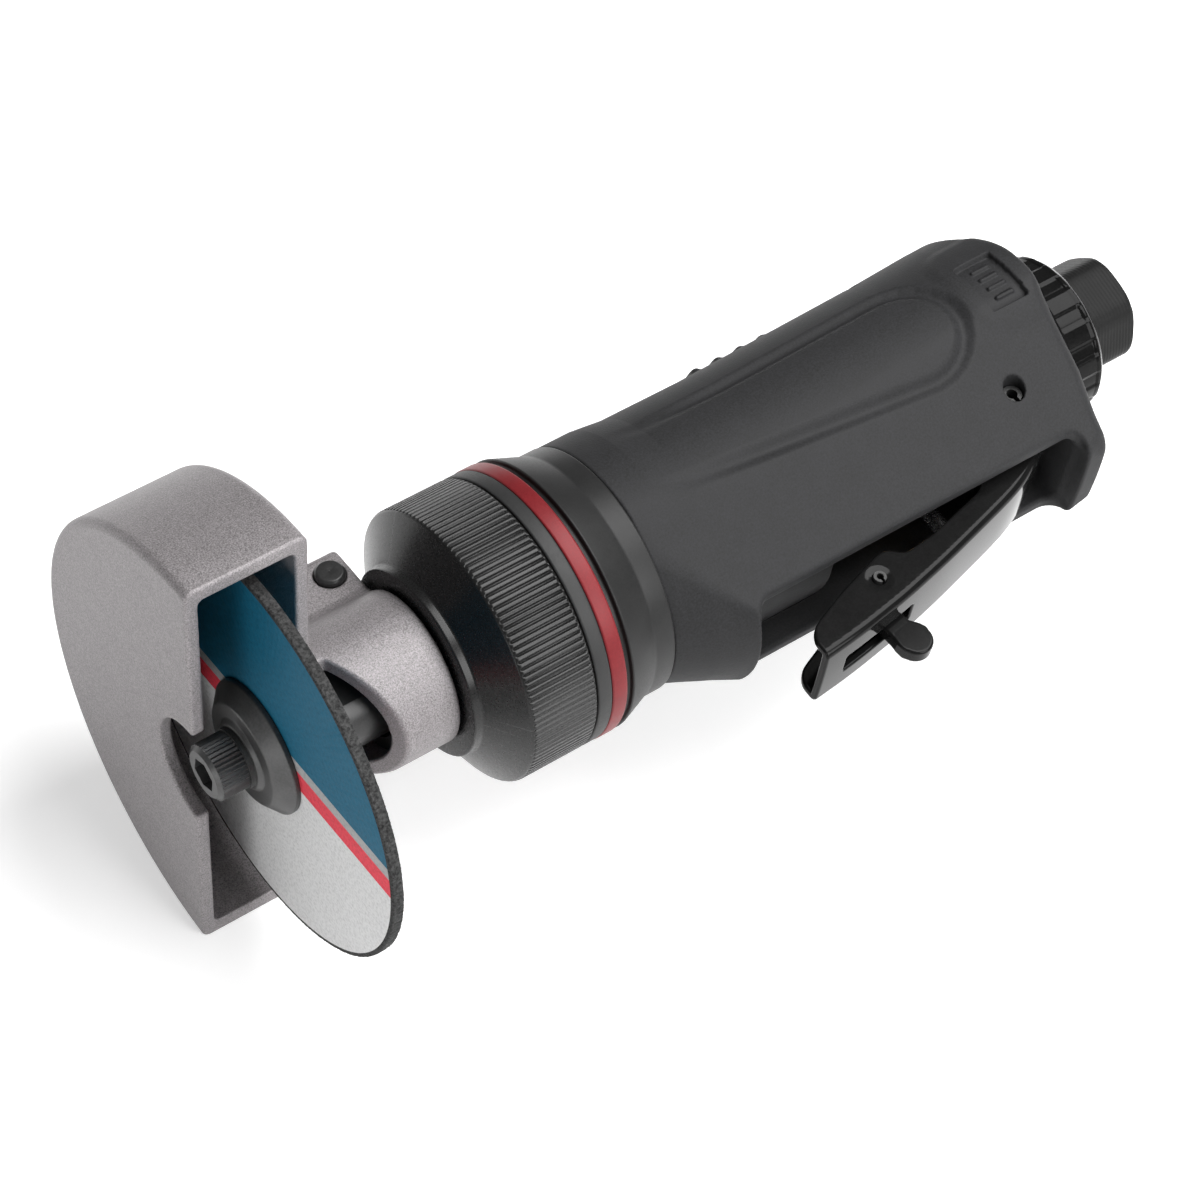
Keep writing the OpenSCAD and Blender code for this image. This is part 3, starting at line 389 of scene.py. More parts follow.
def rounded_box(u, v, u_span, v_span, r):
    """Distance to a rectangle with rounded corners in a plane."""
    a = slab(u, *u_span) + r
    b = slab(v, *v_span) + r
    return np.minimum(np.maximum(a, b), 0) + np.hypot(np.maximum(a, 0), np.maximum(b, 0)) - r


def grip_body(x, y, side, rho, turn):
    """Back, flanks and lower face, without relief."""
    radius = np.interp(x, GRIP_X, BACK_R)
    corner = np.interp(x, GRIP_X, CORNER_DROP)
    lower = np.interp(x, GRIP_X, LOWER_DROP)
    flank = y * math.cos(FLANK_TURN) + side * math.sin(FLANK_TURN) - FLANK_R
    back = rho * np.cos(np.maximum(turn - FLANK_TURN, 0)) - radius
    blend = np.maximum(1 - np.abs(back - flank) / MEET_EASE, 0)
    skin = np.maximum(back, flank) + MEET_EASE * (blend * blend / 4 - MEET_RISE)
    edge_z = (FLANK_R + corner * math.cos(FLANK_TURN)) / math.sin(FLANK_TURN)
    bow = lower - (lower - corner) * (side / edge_z) ** 2
    slope = 2 * (lower - corner) * side / edge_z ** 2
    corner_r = CORNER_R + HEEL_CORNER * ease((x - BAY_REAR + 1) / HEEL_LEN)
    return within(skin, -(y + bow) / np.sqrt(1 + slope * slope), corner_r)


def grip_relief(body, x, rho, turn):
    """The body with its groove, pad, recess, slot and finger ridges."""
    around = turn * UNROLL_R
    near = np.where(np.abs(body) < RELIEF_REACH, 1.0, 0.0)
    groove = path_distance(x, around, grip_groove())
    fade = ease((x - X_FRONT - GROOVE_LEAD) / GROOVE_FADE)
    trough = 0.5 + 0.5 * np.cos(np.pi * np.minimum(groove / GROOVE_HALF, 1))
    body = body + near * fade * GROOVE_DEPTH * trough
    pad = rounded_box(x, around, PAD_X, tuple(UNROLL_R * t for t in PAD_TURN), PAD_CORNER_R)
    body = body - near * PAD_RISE * ease(0.5 - pad / PAD_EASE)
    low, high = (UNROLL_R * t for t in RECESS_TURN)
    recess = rounded_box(x, around, RECESS_X, (low, high), 0.5)
    body = body + near * RECESS_DEPTH * ease(0.5 - recess / RECESS_EASE)
    for k in range(BARS):
        middle = low + (k + 0.9) * (high - low) / (BARS + 0.8)
        bar = rounded_box(x, around, BAR_X, (middle - BAR_HALF, middle + BAR_HALF), 0.3)
        body = body - near * BAR_RISE * ease(0.5 - bar / RECESS_EASE)
    slot = within(np.abs(x - TOP_SLOT_X) - TOP_SLOT_HALF, (turn - TOP_SLOT_TURN) * UNROLL_R, 0.5)
    body = body + near * TOP_SLOT_DEPTH * ease(0.5 - slot / 0.5)
    for at in RIDGES:
        arc = np.sqrt((rho - FLANK_R - 0.1) ** 2 + (x - at) ** 2) - RIDGE_R
        arc = within(arc, (turn - RIDGE_TURN) * FLANK_R, 0.8)
        body = joined(body, arc, 0.5)
    return body


def grip_shape(x, y, z):
    side = np.abs(z)
    rho = np.sqrt(y * y + z * z)
    turn = np.arctan2(side, y)
    body = grip_relief(grip_body(x, y, side, rho, turn), x, rho, turn)
    # front and rear faces
    body = within(body, X_FRONT - x, 0.5)
    edge = REAR_EDGE + BACK_EDGE * ease((1.35 - turn) / 0.7)
    edge = edge + FLANK_EDGE * ease((turn - 1.5) / 0.3) * ease((2.95 - turn) / 0.25)
    lean = HEEL_LEAN * np.maximum(HEEL_LEAN_Y - y, 0)
    body = within(body, x - X_REAR + lean, edge)
    # lever bay under the motor cover, and the open space below its rims
    bay = within(slab(x, BAY_FRONT, BAY_REAR), slab(z, -BAY_HALF, BAY_HALF), BAY_CORNER_R)
    bay = within(bay, y - ROOF_Y, 0.5)
    cover = np.maximum(rho - COVER_R, x - COVER_REAR)
    body = cut(body, np.maximum(bay, -cover), 0.5)
    body = cut(body, within(slab(x, BAY_FRONT, BAY_REAR), y - RIM_Y, RIM_END_R), 0.7)
    # seat of the motor tube, pocket of the regulator ring and hole of the pivot pin
    body = cut(body, np.maximum(rho - TUBE_R, x - COVER_REAR + COVER_LIP), 0.3)
    body = cut(body, np.maximum(rho - POCKET_R, X_REAR - POCKET_LEN - x), 0.4)
    hole = np.hypot(x - PIVOT[0], y - PIVOT[1]) - PIN_HOLE_R
    return cut(body, np.maximum(hole, PIN_HOLE_END - side), 0.3)


def make_grip():
    made = sculpt("grip_skin", grip_shape, GRIP_LOW - 0.6, GRIP_HIGH + 0.6, step=0.36, keep=0.3)
    return place(made, "grip_housing", "housing")


# guard: a half drum with a split clamp sleeve
GUARD_TURN = math.radians(-6.3)
GUARD_R = DISC_R + 6.9
GUARD_WALL = 2.4
GUARD_INNER_R = DISC_R + 4.1
GUARD_FRONT = DISC_LOW[0] - 12
GUARD_REAR = DISC_HIGH[0] + 7.6
DRUM_EDGE_R, HOLLOW_EDGE_R = 1.6, 1.2
NOTCH_R, NOTCH_END = 10.5, 3
SLEEVE_R = 13.5
SLEEVE_BORE_R = 10.5
SLEEVE_REAR = GUARD_HIGH[0]
# slanted mouth under the spindle: its place behind the drum, and its reach over the sleeve's radius
MOUTH_START, SLEEVE_MOUTH = 2.2, 7.0
EARS_HALF, EARS_H = 6.2, 23.3
EARS_EDGE_R = 1.6
SLEEVE_FILLET, DRUM_FILLET = 1.6, 1.8
SLIT_HALF = 0.7
CLAMP_X, CLAMP_Y = SLEEVE_REAR - 3.8, 18.6
CLAMP_HOLE_R = 1.54
SPOT_R, SPOT_DEPTH = 2.7, 0.6


def guard_shape(x, y, z):
    c, s = math.cos(GUARD_TURN), math.sin(GUARD_TURN)
    y, z = y * c + z * s, z * c - y * s
    rho = np.sqrt(y * y + z * z)
    web = GUARD_REAR - GUARD_WALL
    drum = within(rho - GUARD_R, slab(x, GUARD_FRONT, GUARD_REAR), DRUM_EDGE_R)
    hollow = within(rho - GUARD_INNER_R, slab(x, GUARD_FRONT + GUARD_WALL, web), HOLLOW_EDGE_R)
    drum = cut(drum, hollow, 0.3)
    drum = cut(drum, np.maximum(rho - NOTCH_R, x - web + NOTCH_END), 0.6)
    drum = within(drum, -y, 0.6)
    sleeve = within(rho - SLEEVE_R, slab(x, web, SLEEVE_REAR), 0.7)
    ears = within(slab(z, -EARS_HALF, EARS_HALF), slab(y, 0, EARS_H), EARS_EDGE_R)
    ears = within(ears, slab(x, web, SLEEVE_REAR), 0.8)
    body = joined(drum, joined(sleeve, ears, SLEEVE_FILLET), DRUM_FILLET)
    body = cut(body, np.maximum(rho - SLEEVE_BORE_R, web - 2 - x), 0.5)
    slit = np.maximum(slab(z, -SLIT_HALF, SLIT_HALF), np.maximum(GUARD_REAR - x, -y))
    body = cut(body, slit, 0.4)
    lean = SLEEVE_MOUTH / SLEEVE_R
    mouth = (x - GUARD_REAR - MOUTH_START + y * lean) / math.hypot(1, lean)
    body = cut(body, within(mouth, y, 0.5), 0.6)
    # hole and spot face of the clamp screw
    reach = np.hypot(x - CLAMP_X, y - CLAMP_Y)
    body = cut(body, reach - CLAMP_HOLE_R, 0.2)
    return cut(body, np.maximum(reach - SPOT_R, EARS_HALF - SPOT_DEPTH - z), 0.2)


def make_guard():
    made = sculpt("guard_casting", guard_shape, GUARD_LOW - 0.6, GUARD_HIGH + 0.6, step=0.4, keep=0.45)
    return place(made, "guard", "guard_set")


def make_clamp_screw():
    """Plain screw with a flat head, across the ears of the guard."""
    seat, end = EARS_HALF - SPOT_DEPTH, 1 - EARS_HALF
    shank_r, head_r, head_h = 1.5, 2.6, 1.7
    profile = [(end, AXIS_R), (end, shank_r - 0.3), (end + 0.3, shank_r), (seat, shank_r), (seat, head_r),
               (seat + head_h - 0.5, head_r), (seat + head_h, head_r - 0.45), (seat + head_h, AXIS_R)]
    made = turned("clamp_screw_turning", softened(profile, 0.15), 64)
    c, s = math.cos(GUARD_TURN), math.sin(GUARD_TURN)
    for vertex in made.data.vertices:
        height, u, v = vertex.co / MM
        v = v + CLAMP_Y
        vertex.co = Vector((CLAMP_X + u, v * c - height * s, height * c + v * s)) * MM
    made.data.update()
    return place(made, "guard_clamp_screw", "guard_set")


# throttle lever: a channel pressed from sheet
LEVER_LEN, LEVER_DEPTH, LEVER_T = 54.8, 21.2, 1.5
LEVER_HALF = 7.1
LEVER_BELLY, LEVER_BEND = 0.1, 1.3
LEVER_TIP = PIVOT[0] - LEVER_LEN
LEVER_END = LEVER_HIGH[0]
LEVER_TIP_R, LEVER_EDGE_R = 2.4, 0.45
EYE_R, EYE_HOLE_R = 4.15, 1.85
# seat of the valve stem, drawn out by the stem's travel over the web, and the sheet left under it
STEM_X = sum(corner[0] for corner in span("valve_stem")) / 2
SEAT_HALF, SEAT_SHIFT, SEAT_T = 3.0, 2.5, 0.7
SEAT_X = (STEM_X - SEAT_HALF, STEM_X + SEAT_HALF + SEAT_SHIFT)
# slot for the latch, and the dimples of its pin
LATCH_SLOT_X, LATCH_SLOT_HALF = (LATCH[0] - 11.2, LATCH[0] + 4.4), 2.1
DIMPLE_R, DIMPLE_DEPTH, DIMPLE_HOLE_R = 2.6, 0.35, 1.14
# shares of the lever: length from the tip, depth of the web and depth of the flange's edge
LEVER_SHARES = np.array([[0, 1.06, 0.82], [0.064, 1.045, 0.743], [0.164, 1.015, 0.643],
                         [0.347, 0.938, 0.5], [0.383, 0.918, 0.495], [0.427, 0.894, 0.6],
                         [0.547, 0.825, 0.571], [0.766, 0.68, 0.438], [0.88, 0.6, 0.19],
                         [0.958, 0.52, 0.02], [1.067, 0.35, -0.086]])
LINE_STEP = 0.1


def smooth_line(xs, ys, reach):
    """The line through the points with its corners eased over a reach, as two fine rows."""
    fine = np.arange(xs[0] - 4 * reach, xs[-1] + 4 * reach, LINE_STEP)
    first, last = (ys[1] - ys[0]) / (xs[1] - xs[0]), (ys[-1] - ys[-2]) / (xs[-1] - xs[-2])
    line = np.interp(fine, xs, ys)
    line = np.where(fine < xs[0], ys[0] + first * (fine - xs[0]), line)
    line = np.where(fine > xs[-1], ys[-1] + last * (fine - xs[-1]), line)
    window = np.hanning(2 * int(reach / LINE_STEP) + 1)
    eased = np.convolve(line, window / window.sum(), "same")
    inner = slice(int(2 * reach / LINE_STEP), -int(2 * reach / LINE_STEP))
    return fine[inner], eased[inner]


LEVER_X = PIVOT[0] - LEVER_LEN * (1 - LEVER_SHARES[:, 0])
WEB_LINE = smooth_line(LEVER_X, PIVOT[1] - LEVER_DEPTH * LEVER_SHARES[:, 1], 6.0)
EDGE_LINE = smooth_line(LEVER_X, PIVOT[1] - LEVER_DEPTH * LEVER_SHARES[:, 2], 1.6)


def lever_shape(x, y, z):
    side = np.abs(z)
    across = LEVER_HALF - LEVER_BEND
    floor = np.interp(x, *WEB_LINE) + LEVER_BELLY * (z / across) ** 2
    rise = np.interp(x + 0.5, *WEB_LINE) - np.interp(x - 0.5, *WEB_LINE)
    bow = 2 * LEVER_BELLY * side / across ** 2
    outside = within(side - LEVER_HALF, (floor - y) / np.sqrt(1 + rise ** 2 + bow ** 2), LEVER_BEND)
    sheet = np.maximum(outside, -outside - LEVER_T)
    edge = np.interp(x, *EDGE_LINE)
    outline = within(y - edge, LEVER_TIP - x, LEVER_TIP_R)
    outline = within(outline, x - LEVER_END, 1.0)
    body = within(sheet, outline, LEVER_EDGE_R)
    # eyes on the pivot pin
    reach = np.hypot(x - PIVOT[0], y - PIVOT[1])
    eye = within(reach - EYE_R, slab(side, LEVER_HALF - LEVER_T, LEVER_HALF), 0.3)
    body = cut(np.minimum(body, eye), reach - EYE_HOLE_R, 0.2)
    seat = rounded_box(x, z, SEAT_X, (-SEAT_HALF, SEAT_HALF), 1.5)
    seat = np.maximum(seat, outside + SEAT_T)
    body = cut(body, seat, 0.2)
    slot = within(slab(x, *LATCH_SLOT_X), slab(z, -LATCH_SLOT_HALF, LATCH_SLOT_HALF), 0.4)
    body = cut(body, np.maximum(slot, y - LATCH[1] + 3), LEVER_EDGE_R)
    reach = np.hypot(x - LATCH[0], y - LATCH[1])
    body = body + DIMPLE_DEPTH * ease(1 - reach / DIMPLE_R) * (side > LEVER_HALF - 0.7)
    return cut(body, reach - DIMPLE_HOLE_R, 0.15)


def make_lever():
    made = sculpt("lever_pressing", lever_shape, LEVER_LOW - 2.0, LEVER_HIGH + 0.4, step=0.25, keep=0.5)
    return place(made, "throttle_lever", "lever_set")


# lock-off latch, in shares of its length from its pin
LATCH_LEN = 13.0
LATCH_HALF = 1.4
LATCH_TAB = [[-0.18, -0.03], [0.18, -0.03], [0.18, -0.343], [0.19, -0.49], [0.27, -0.62],
             [0.3, -0.7], [0.09, -0.77], [-0.12, -0.82], [-0.15, -0.7], [-0.17, -0.4]]
TOE_X, TOE_DROP, TOE_R = 0.09, 0.77, 0.23
HUB_R, HUB_BORE_R = 2.4, 1.17


def latch_shape(x, y, z):
    u, v = x - LATCH[0], y - LATCH[1]
    tab = polygon_distance(u, v, [(a * LATCH_LEN, b * LATCH_LEN) for a, b in LATCH_TAB])
    toe = np.hypot(u - TOE_X * LATCH_LEN, v + TOE_DROP * LATCH_LEN) - TOE_R * LATCH_LEN
    hub = np.hypot(u, v) - HUB_R
    plan = joined(joined(tab, toe, 0.8), hub, 0.6)
    body = within(plan, slab(z, -LATCH_HALF, LATCH_HALF), 0.5)
    return cut(body, np.hypot(u, v) - HUB_BORE_R, 0.15)


def make_latch():
    low, high = span("lock_off_latch")
    made = sculpt("latch_tab", latch_shape, low - 0.4, high + 0.4, step=0.18, keep=0.6)
    return place(made, "lock_off_latch", "latch_set")


# flow regulator ring, with raised lands around it
RING_R = RING_HIGH[1]
RING_REAR_R = 13.7
RING_BORE_R = 9.27
RING_WAIST = 3
RING_RECESS = 0.42
DOME_LEN, DOME_STEP = 0.9, 0.2
LANDS, LAND_HALF = 14, 1.7


def ring_profile():
    low, high = RING_LOW[0], RING_HIGH[0]
    waist = X_REAR + RING_WAIST
    dome = high - DOME_LEN
    top = RING_R - DOME_STEP
    floor = RING_R - RING_RECESS
    arc = [(dome + DOME_LEN * t, top - (top - RING_REAR_R) * t ** 1.2) for t in np.linspace(0, 1, 5)]
    return [(low, RING_BORE_R), (low, RING_R), (waist, RING_R), (waist + 0.3, floor),
            (dome - 0.9, floor), (dome - 0.6, top)] + arc + [(high, RING_BORE_R)]


RING_PROFILE = softened(ring_profile(), 0.4)


def ring_shape(x, y, z):
    rho = np.sqrt(y * y + z * z)
    body = polygon_distance(x, rho, RING_PROFILE)
    step = 2 * math.pi / LANDS
    turn = np.mod(np.arctan2(z, y) + step / 2, step) - step / 2
    land = within(np.abs(rho * np.sin(turn)) - LAND_HALF, rho - RING_R + DOME_STEP, 0.4)
    land = np.maximum(land, slab(x, X_REAR + RING_WAIST - 0.5, RING_HIGH[0] - DOME_LEN - DOME_STEP))
    land = np.maximum(land, RING_R - 2 - rho)
    return joined(body, land, 0.5)


def make_ring():
    made = sculpt("regulator_knob", ring_shape, RING_LOW - 0.4, RING_HIGH + 0.4, step=0.25, keep=0.6)
    return place(made, "regulator_ring", "regulator_set")


# turned pieces
KNURL_LEN, CONE_END = 12.7, 17.0
COLLAR_R, NUT_BORE_R = 16.7, 10.55
FLUTES, FLUTE_DEPTH, FLUTE_SHARE = 130, 0.5, 0.6
HOUSING_R, HOUSING_BORE_R = 19.0, 17.54
HOUSING_WALL, HOUSING_HOLE_R = 2, 4.5
SHOULDER_R, BAND_R, CONE_LEN = 24.4, 22.1, 6.2
SHOULDER_GROOVE_R, SHOULDER_GROOVE_LEN = 23.4, 1.1
DISC_BORE_R, DISC_SEGMENTS = 5.0, 720
RIM_ROUGH, RIM_BAND = 0.18, 0.5


def make_nut():
    rear, front = NUT_HIGH[0], NUT_LOW[0]
    knurl_front, cone_front = rear - KNURL_LEN, rear - CONE_END
    step = cone_front + 5
    profile = [(front, NUT_BORE_R), (front, COLLAR_R), (cone_front, COLLAR_R), (knurl_front, NUT_R - 0.3),
               (knurl_front + 0.5, NUT_R), (rear - 0.5, NUT_R), (rear, NUT_R - 0.5), (rear, TUBE_R),
               (step, TUBE_R), (step, NUT_BORE_R)]

    def relief(x, r, angle):
        wave = np.abs(np.mod(angle * FLUTES / (2 * math.pi), 1) - 0.5) * 2 / FLUTE_SHARE
        band = ease((x - knurl_front - 0.15) / 0.7) * ease((rear - 0.15 - x) / 0.7)
        return np.where(r > NUT_R - 0.8, band * FLUTE_DEPTH * ease(1.2 * (1 - wave)), 0)
    place(turned("nut_turning", softened(profile, 0.3), FLUTES * 10, relief), "clamp_nut", "housing")


def make_rings():
    for name, node, low, high in (("spacer_turning", "spacer_ring", SPACER_LOW, SPACER_HIGH),
                                  ("red_turning", "red_ring", RED_LOW, RED_HIGH)):
        outer = high[1]
        profile = [(low[0], TUBE_R), (low[0], outer), (high[0], outer), (high[0], TUBE_R)]
        place(turned(name, softened(profile, 0.35), 256), node, "housing")


def make_housing():
    front, shoulder = RED_HIGH[0], RED_HIGH[0] + SHOULDER_GROOVE_LEN
    low, high = FLANGE_LOW[0], FLANGE_HIGH[0]
    inside = high - HOUSING_WALL
    outer = [(low, HOUSING_R), (front, HOUSING_R), (front, SHOULDER_GROOVE_R), (shoulder, SHOULDER_GROOVE_R)]
    cone = [(shoulder + 0.1, SHOULDER_R), (shoulder + CONE_LEN, BAND_R)]
    tail = [(X_FRONT, BAND_R), (X_FRONT, HOUSING_R), (high, HOUSING_R), (high, HOUSING_HOLE_R)]
    bore = [(inside, HOUSING_HOLE_R), (inside, HOUSING_BORE_R), (low, HOUSING_BORE_R)]
    profile = softened(outer + cone + tail + bore, 0.35)
    place(turned("housing_turning", profile, 256), "motor_housing", "housing", "satin_black")


def make_disc():
    rng = np.random.default_rng(7)
    low, high = DISC_LOW[0], DISC_HIGH[0]
    profile = softened([(low, DISC_BORE_R), (low, DISC_R), (high, DISC_R), (high, DISC_BORE_R)], 0.3)
    rough = rng.random((DISC_SEGMENTS, len(profile)))

    def relief(x, r, angle):
        return np.where(r > DISC_R - RIM_BAND, RIM_ROUGH * rough, 0)
    place(turned("disc_wheel", profile, DISC_SEGMENTS, relief), "cutting_disc", "spindle_set")


def make_flange():
    low, high = span("outer_flange")
    r, front = high[1], high[0]
    bore, boss, step = 3.04, 6.4, front - 3.3
    profile = [(front, bore), (front, r), (front - 0.9, r), (front - 1.2, r - 0.4),
               (step + 0.1, r - 2.7), (step, r - 3.1), (step, boss), (low[0], boss - 0.7), (low[0], bore)]
    place(turned("flange_turning", softened(profile, 0.2), 192), "outer_flange", "spindle_set")


# inlet bush: a hexagon with rounded corners, and thread turns in its bore
HEX_AF, HEX_TURN, HEX_ROUND_R = 18.2, math.radians(12), 9.95
HEX_GAP = 0.35
SHANK_R = 9.2
INLET_R = 5.72
INLET_LEN = 12.0
THREAD_PITCH, THREAD_DEPTH = 1.34, 0.35


def bush_shape(x, y, z):
    rho = np.sqrt(y * y + z * z)
    turn = np.arctan2(z, y) - HEX_TURN
    flats = [np.abs(rho * np.cos(turn - math.pi * (k / 3 + 1 / 6))) - HEX_AF / 2 for k in range(3)]
    body = within(within(flats[0], flats[1], 1.2), flats[2], 1.2)
    body = within(body, slab(x, RING_HIGH[0] + HEX_GAP, BUSH_HIGH[0]), 0.5)
    body = within(body, rho - HEX_ROUND_R, 0.6)
    body = within(body, (rho + (x - BUSH_HIGH[0]) * 0.9 - HEX_AF / 2 - 0.1) / 1.35, 0.4)
    body = joined(body, np.maximum(rho - SHANK_R, slab(x, BUSH_LOW[0], RING_HIGH[0] + 0.75)), 0.2)
    wave = np.mod(x / THREAD_PITCH + np.arctan2(z, y) / (2 * math.pi), 1) * 2 - 1
    thread = INLET_R + THREAD_DEPTH * np.abs(wave)
    inner = BUSH_HIGH[0] - INLET_LEN
    body = cut(body, np.maximum(rho - thread, inner - x), 0.3)
    body = cut(body, np.maximum(rho - INLET_R + 1.2, inner - 1 - x), 0.1)
    return cut(body, rho - INLET_R + 2, 0.1)


def make_bush():
    made = sculpt("bush_turning", bush_shape, BUSH_LOW - 0.4, BUSH_HIGH + 0.4, step=0.25, keep=0.6)
    return place(made, "inlet_bush", "housing", "turned_black")


# valve spring
def make_valve_spring():
    """The valve's coil, copied from its CAD mesh."""
    made = bpy.data.objects.new("valve_coil", NODES["valve_spring"].data.copy())
    bpy.context.scene.collection.objects.link(made)
    place(made, "valve_spring", "housing")
    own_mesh(made)


# node materials
def new_material(name):
    material = bpy.data.materials.new(name)
    material.use_nodes = True
    tree = material.node_tree
    shader = tree.nodes["Principled BSDF"]
    return material, tree, shader


def add(tree, kind, **inputs):
    """A node of that kind, with its inputs set by socket name."""
    made = tree.nodes.new(kind)
    for socket, value in inputs.items():
        made.inputs[socket.replace("_", " ")].default_value = value
    return made


def grey(value, tint=(1.0, 1.0, 1.0)):
    return (value * tint[0], value * tint[1], value * tint[2], 1.0)


def ramp(tree, source, stops, steps="LINEAR"):
    """A colour ramp over [position, colour] stops."""
    made = tree.nodes.new("ShaderNodeValToRGB")
    made.color_ramp.interpolation = steps
    while len(made.color_ramp.elements) < len(stops):
        made.color_ramp.elements.new(0.5)
    for element, (position, colour) in zip(made.color_ramp.elements, stops):
        element.position = position
        element.color = colour
    tree.links.new(source, made.inputs["Fac"])
    return made.outputs["Color"]


def math_node(tree, operation, *values):
    """A math node over sockets or numbers."""
    made = tree.nodes.new("ShaderNodeMath")
    made.operation = operation
    for socket, value in zip(made.inputs, values):
        if isinstance(value, (int, float)):
            socket.default_value = value
        else:
            tree.links.new(value, socket)
    return made.outputs[0]


def mix_node(tree, factor, a, b, blend="MIX"):
    """A mix of two colours; each input is a socket or a value."""
    made = tree.nodes.new("ShaderNodeMix")
    made.data_type = "RGBA"
    made.blend_type = blend
    for name, value in (("Factor", factor), ("A", a), ("B", b)):
        if isinstance(value, bpy.types.NodeSocket):
            tree.links.new(value, made.inputs[name])
        else:
            made.inputs[name].default_value = value
    return made.outputs["Result"]


def place_node(tree):
    return tree.nodes.new("ShaderNodeTexCoord").outputs["Object"]


def place_axes(tree):
    """The object's own X, Y and Z as three sockets."""
    axes = tree.nodes.new("ShaderNodeSeparateXYZ")
    tree.links.new(place_node(tree), axes.inputs[0])
    return [axes.outputs[name] for name in "XYZ"]


def waves(tree, along, pitch):
    """A sine over a coordinate, one wave for each pitch in metres."""
    return math_node(tree, "SINE", math_node(tree, "MULTIPLY", along, 2 * math.pi / pitch))


def noise(tree, scale, detail=3.0, roughness=0.55):
    """Noise over the object's own coordinates, scale in features per metre."""
    made = add(tree, "ShaderNodeTexNoise", Scale=scale, Detail=detail, Roughness=roughness)
    tree.links.new(place_node(tree), made.inputs["Vector"])
    return made.outputs["Fac"]


def bump(tree, shader, height, strength, distance):
    made = add(tree, "ShaderNodeBump", Strength=strength, Distance=distance)
    tree.links.new(height, made.inputs["Height"])
    tree.links.new(made.outputs["Normal"], shader.inputs["Normal"])


def wear_and_highlight_edges(tree, base, bright):
    """Lighter edges: a brighter colour over the base where the mesh is pointed, partly bare wear and partly a
    painted edge highlight.
    """
    geometry = tree.nodes.new("ShaderNodeNewGeometry")
    edge = ramp(tree, geometry.outputs["Pointiness"], [(0.53, grey(0.0)), (0.62, grey(0.8))])
    return mix_node(tree, edge, base, bright)


def grained(name, dark, light, rough, grain, height, strength=0.5, metallic=0.0, edge=None,
            broad_share=0.4, sheen=0.5, ior=1.5, lines=None):
    """A surface with grain in its colour, roughness and height, and turning lines where given."""
    material, tree, shader = new_material(name)
    fine = noise(tree, grain, 4.0)
    broad = math_node(tree, "MULTIPLY", noise(tree, grain / 12.0, 3.0), broad_share)
    both = math_node(tree, "MULTIPLY_ADD", fine, 1 - broad_share, broad)
    colour = ramp(tree, both, [(0.32, dark), (0.68, light)])
    # lighter pointed edges where given: partly wear, partly a painted edge highlight
    if edge:
        colour = wear_and_highlight_edges(tree, colour, edge)
    tree.links.new(colour, shader.inputs["Base Color"])
    low, high = rough
    shade = ramp(tree, fine, [(0.3, grey(low)), (0.7, grey(high))])
    tree.links.new(shade, shader.inputs["Roughness"])
    shader.inputs["Metallic"].default_value = metallic
    shader.inputs["Specular IOR Level"].default_value = sheen
    shader.inputs["IOR"].default_value = ior
    relief = fine
    if lines:
        relief = math_node(tree, "ADD", fine, waves(tree, place_axes(tree)[0], lines))
    bump(tree, shader, relief, strength, height)
    return material


# print of the disc: its radius, the turn of its fields, and the colours from its lower edge up
LABEL_R = 36.6
LABEL_TURN = math.radians(81.5)
PALE, RED, LINE_GREY, BLUE = grey(0.71), (0.76, 0.056, 0.085, 1), grey(0.4), (0.005, 0.11, 0.19, 1)
LABEL_FIELDS = [(0.0, PALE), (0.507, RED), (0.562, LINE_GREY), (0.59, BLUE)]
GRIT = 1700
NET_PITCH, NET_SHARE = 0.0022, 0.25


def disc_print():
    """Abrasive with a printed face: a blue field, a red stripe and a pale field."""
    material, tree, shader = new_material("abrasive")
    grit = noise(tree, GRIT, 5.0, 0.7)
    rim = ramp(tree, grit, [(0.35, grey(0.008)), (0.7, grey(0.075))])
    y, z = place_axes(tree)[1:]
    radius = math_node(tree, "SQRT", math_node(tree, "ADD", math_node(tree, "MULTIPLY", y, y),
                                               math_node(tree, "MULTIPLY", z, z)))
    inside = math_node(tree, "LESS_THAN", radius, LABEL_R * MM)
    turned_up = math_node(tree, "ADD", math_node(tree, "MULTIPLY", y, math.cos(LABEL_TURN)),
                          math_node(tree, "MULTIPLY", z, math.sin(LABEL_TURN)))
    level = math_node(tree, "MULTIPLY_ADD", turned_up, 0.5 / (DISC_R * MM), 0.5)
    field = ramp(tree, level, LABEL_FIELDS, "CONSTANT")
    print_wear = ramp(tree, grit, [(0.3, grey(0.72)), (0.55, grey(1.0))])
    worn_field = mix_node(tree, 1.0, field, print_wear, "MULTIPLY")
    tree.links.new(mix_node(tree, inside, rim, worn_field), shader.inputs["Base Color"])
    shade = ramp(tree, inside, [(0.0, grey(0.85)), (1.0, grey(0.6))])
    tree.links.new(shade, shader.inputs["Roughness"])
    shader.inputs["Specular IOR Level"].default_value = 0.2
    # the glass net under the print
    net = math_node(tree, "MULTIPLY", waves(tree, y, NET_PITCH), waves(tree, z, NET_PITCH))
    height = math_node(tree, "MULTIPLY_ADD", net, NET_SHARE, grit)
    bump(tree, shader, height, 0.5, 0.0001)
    return material


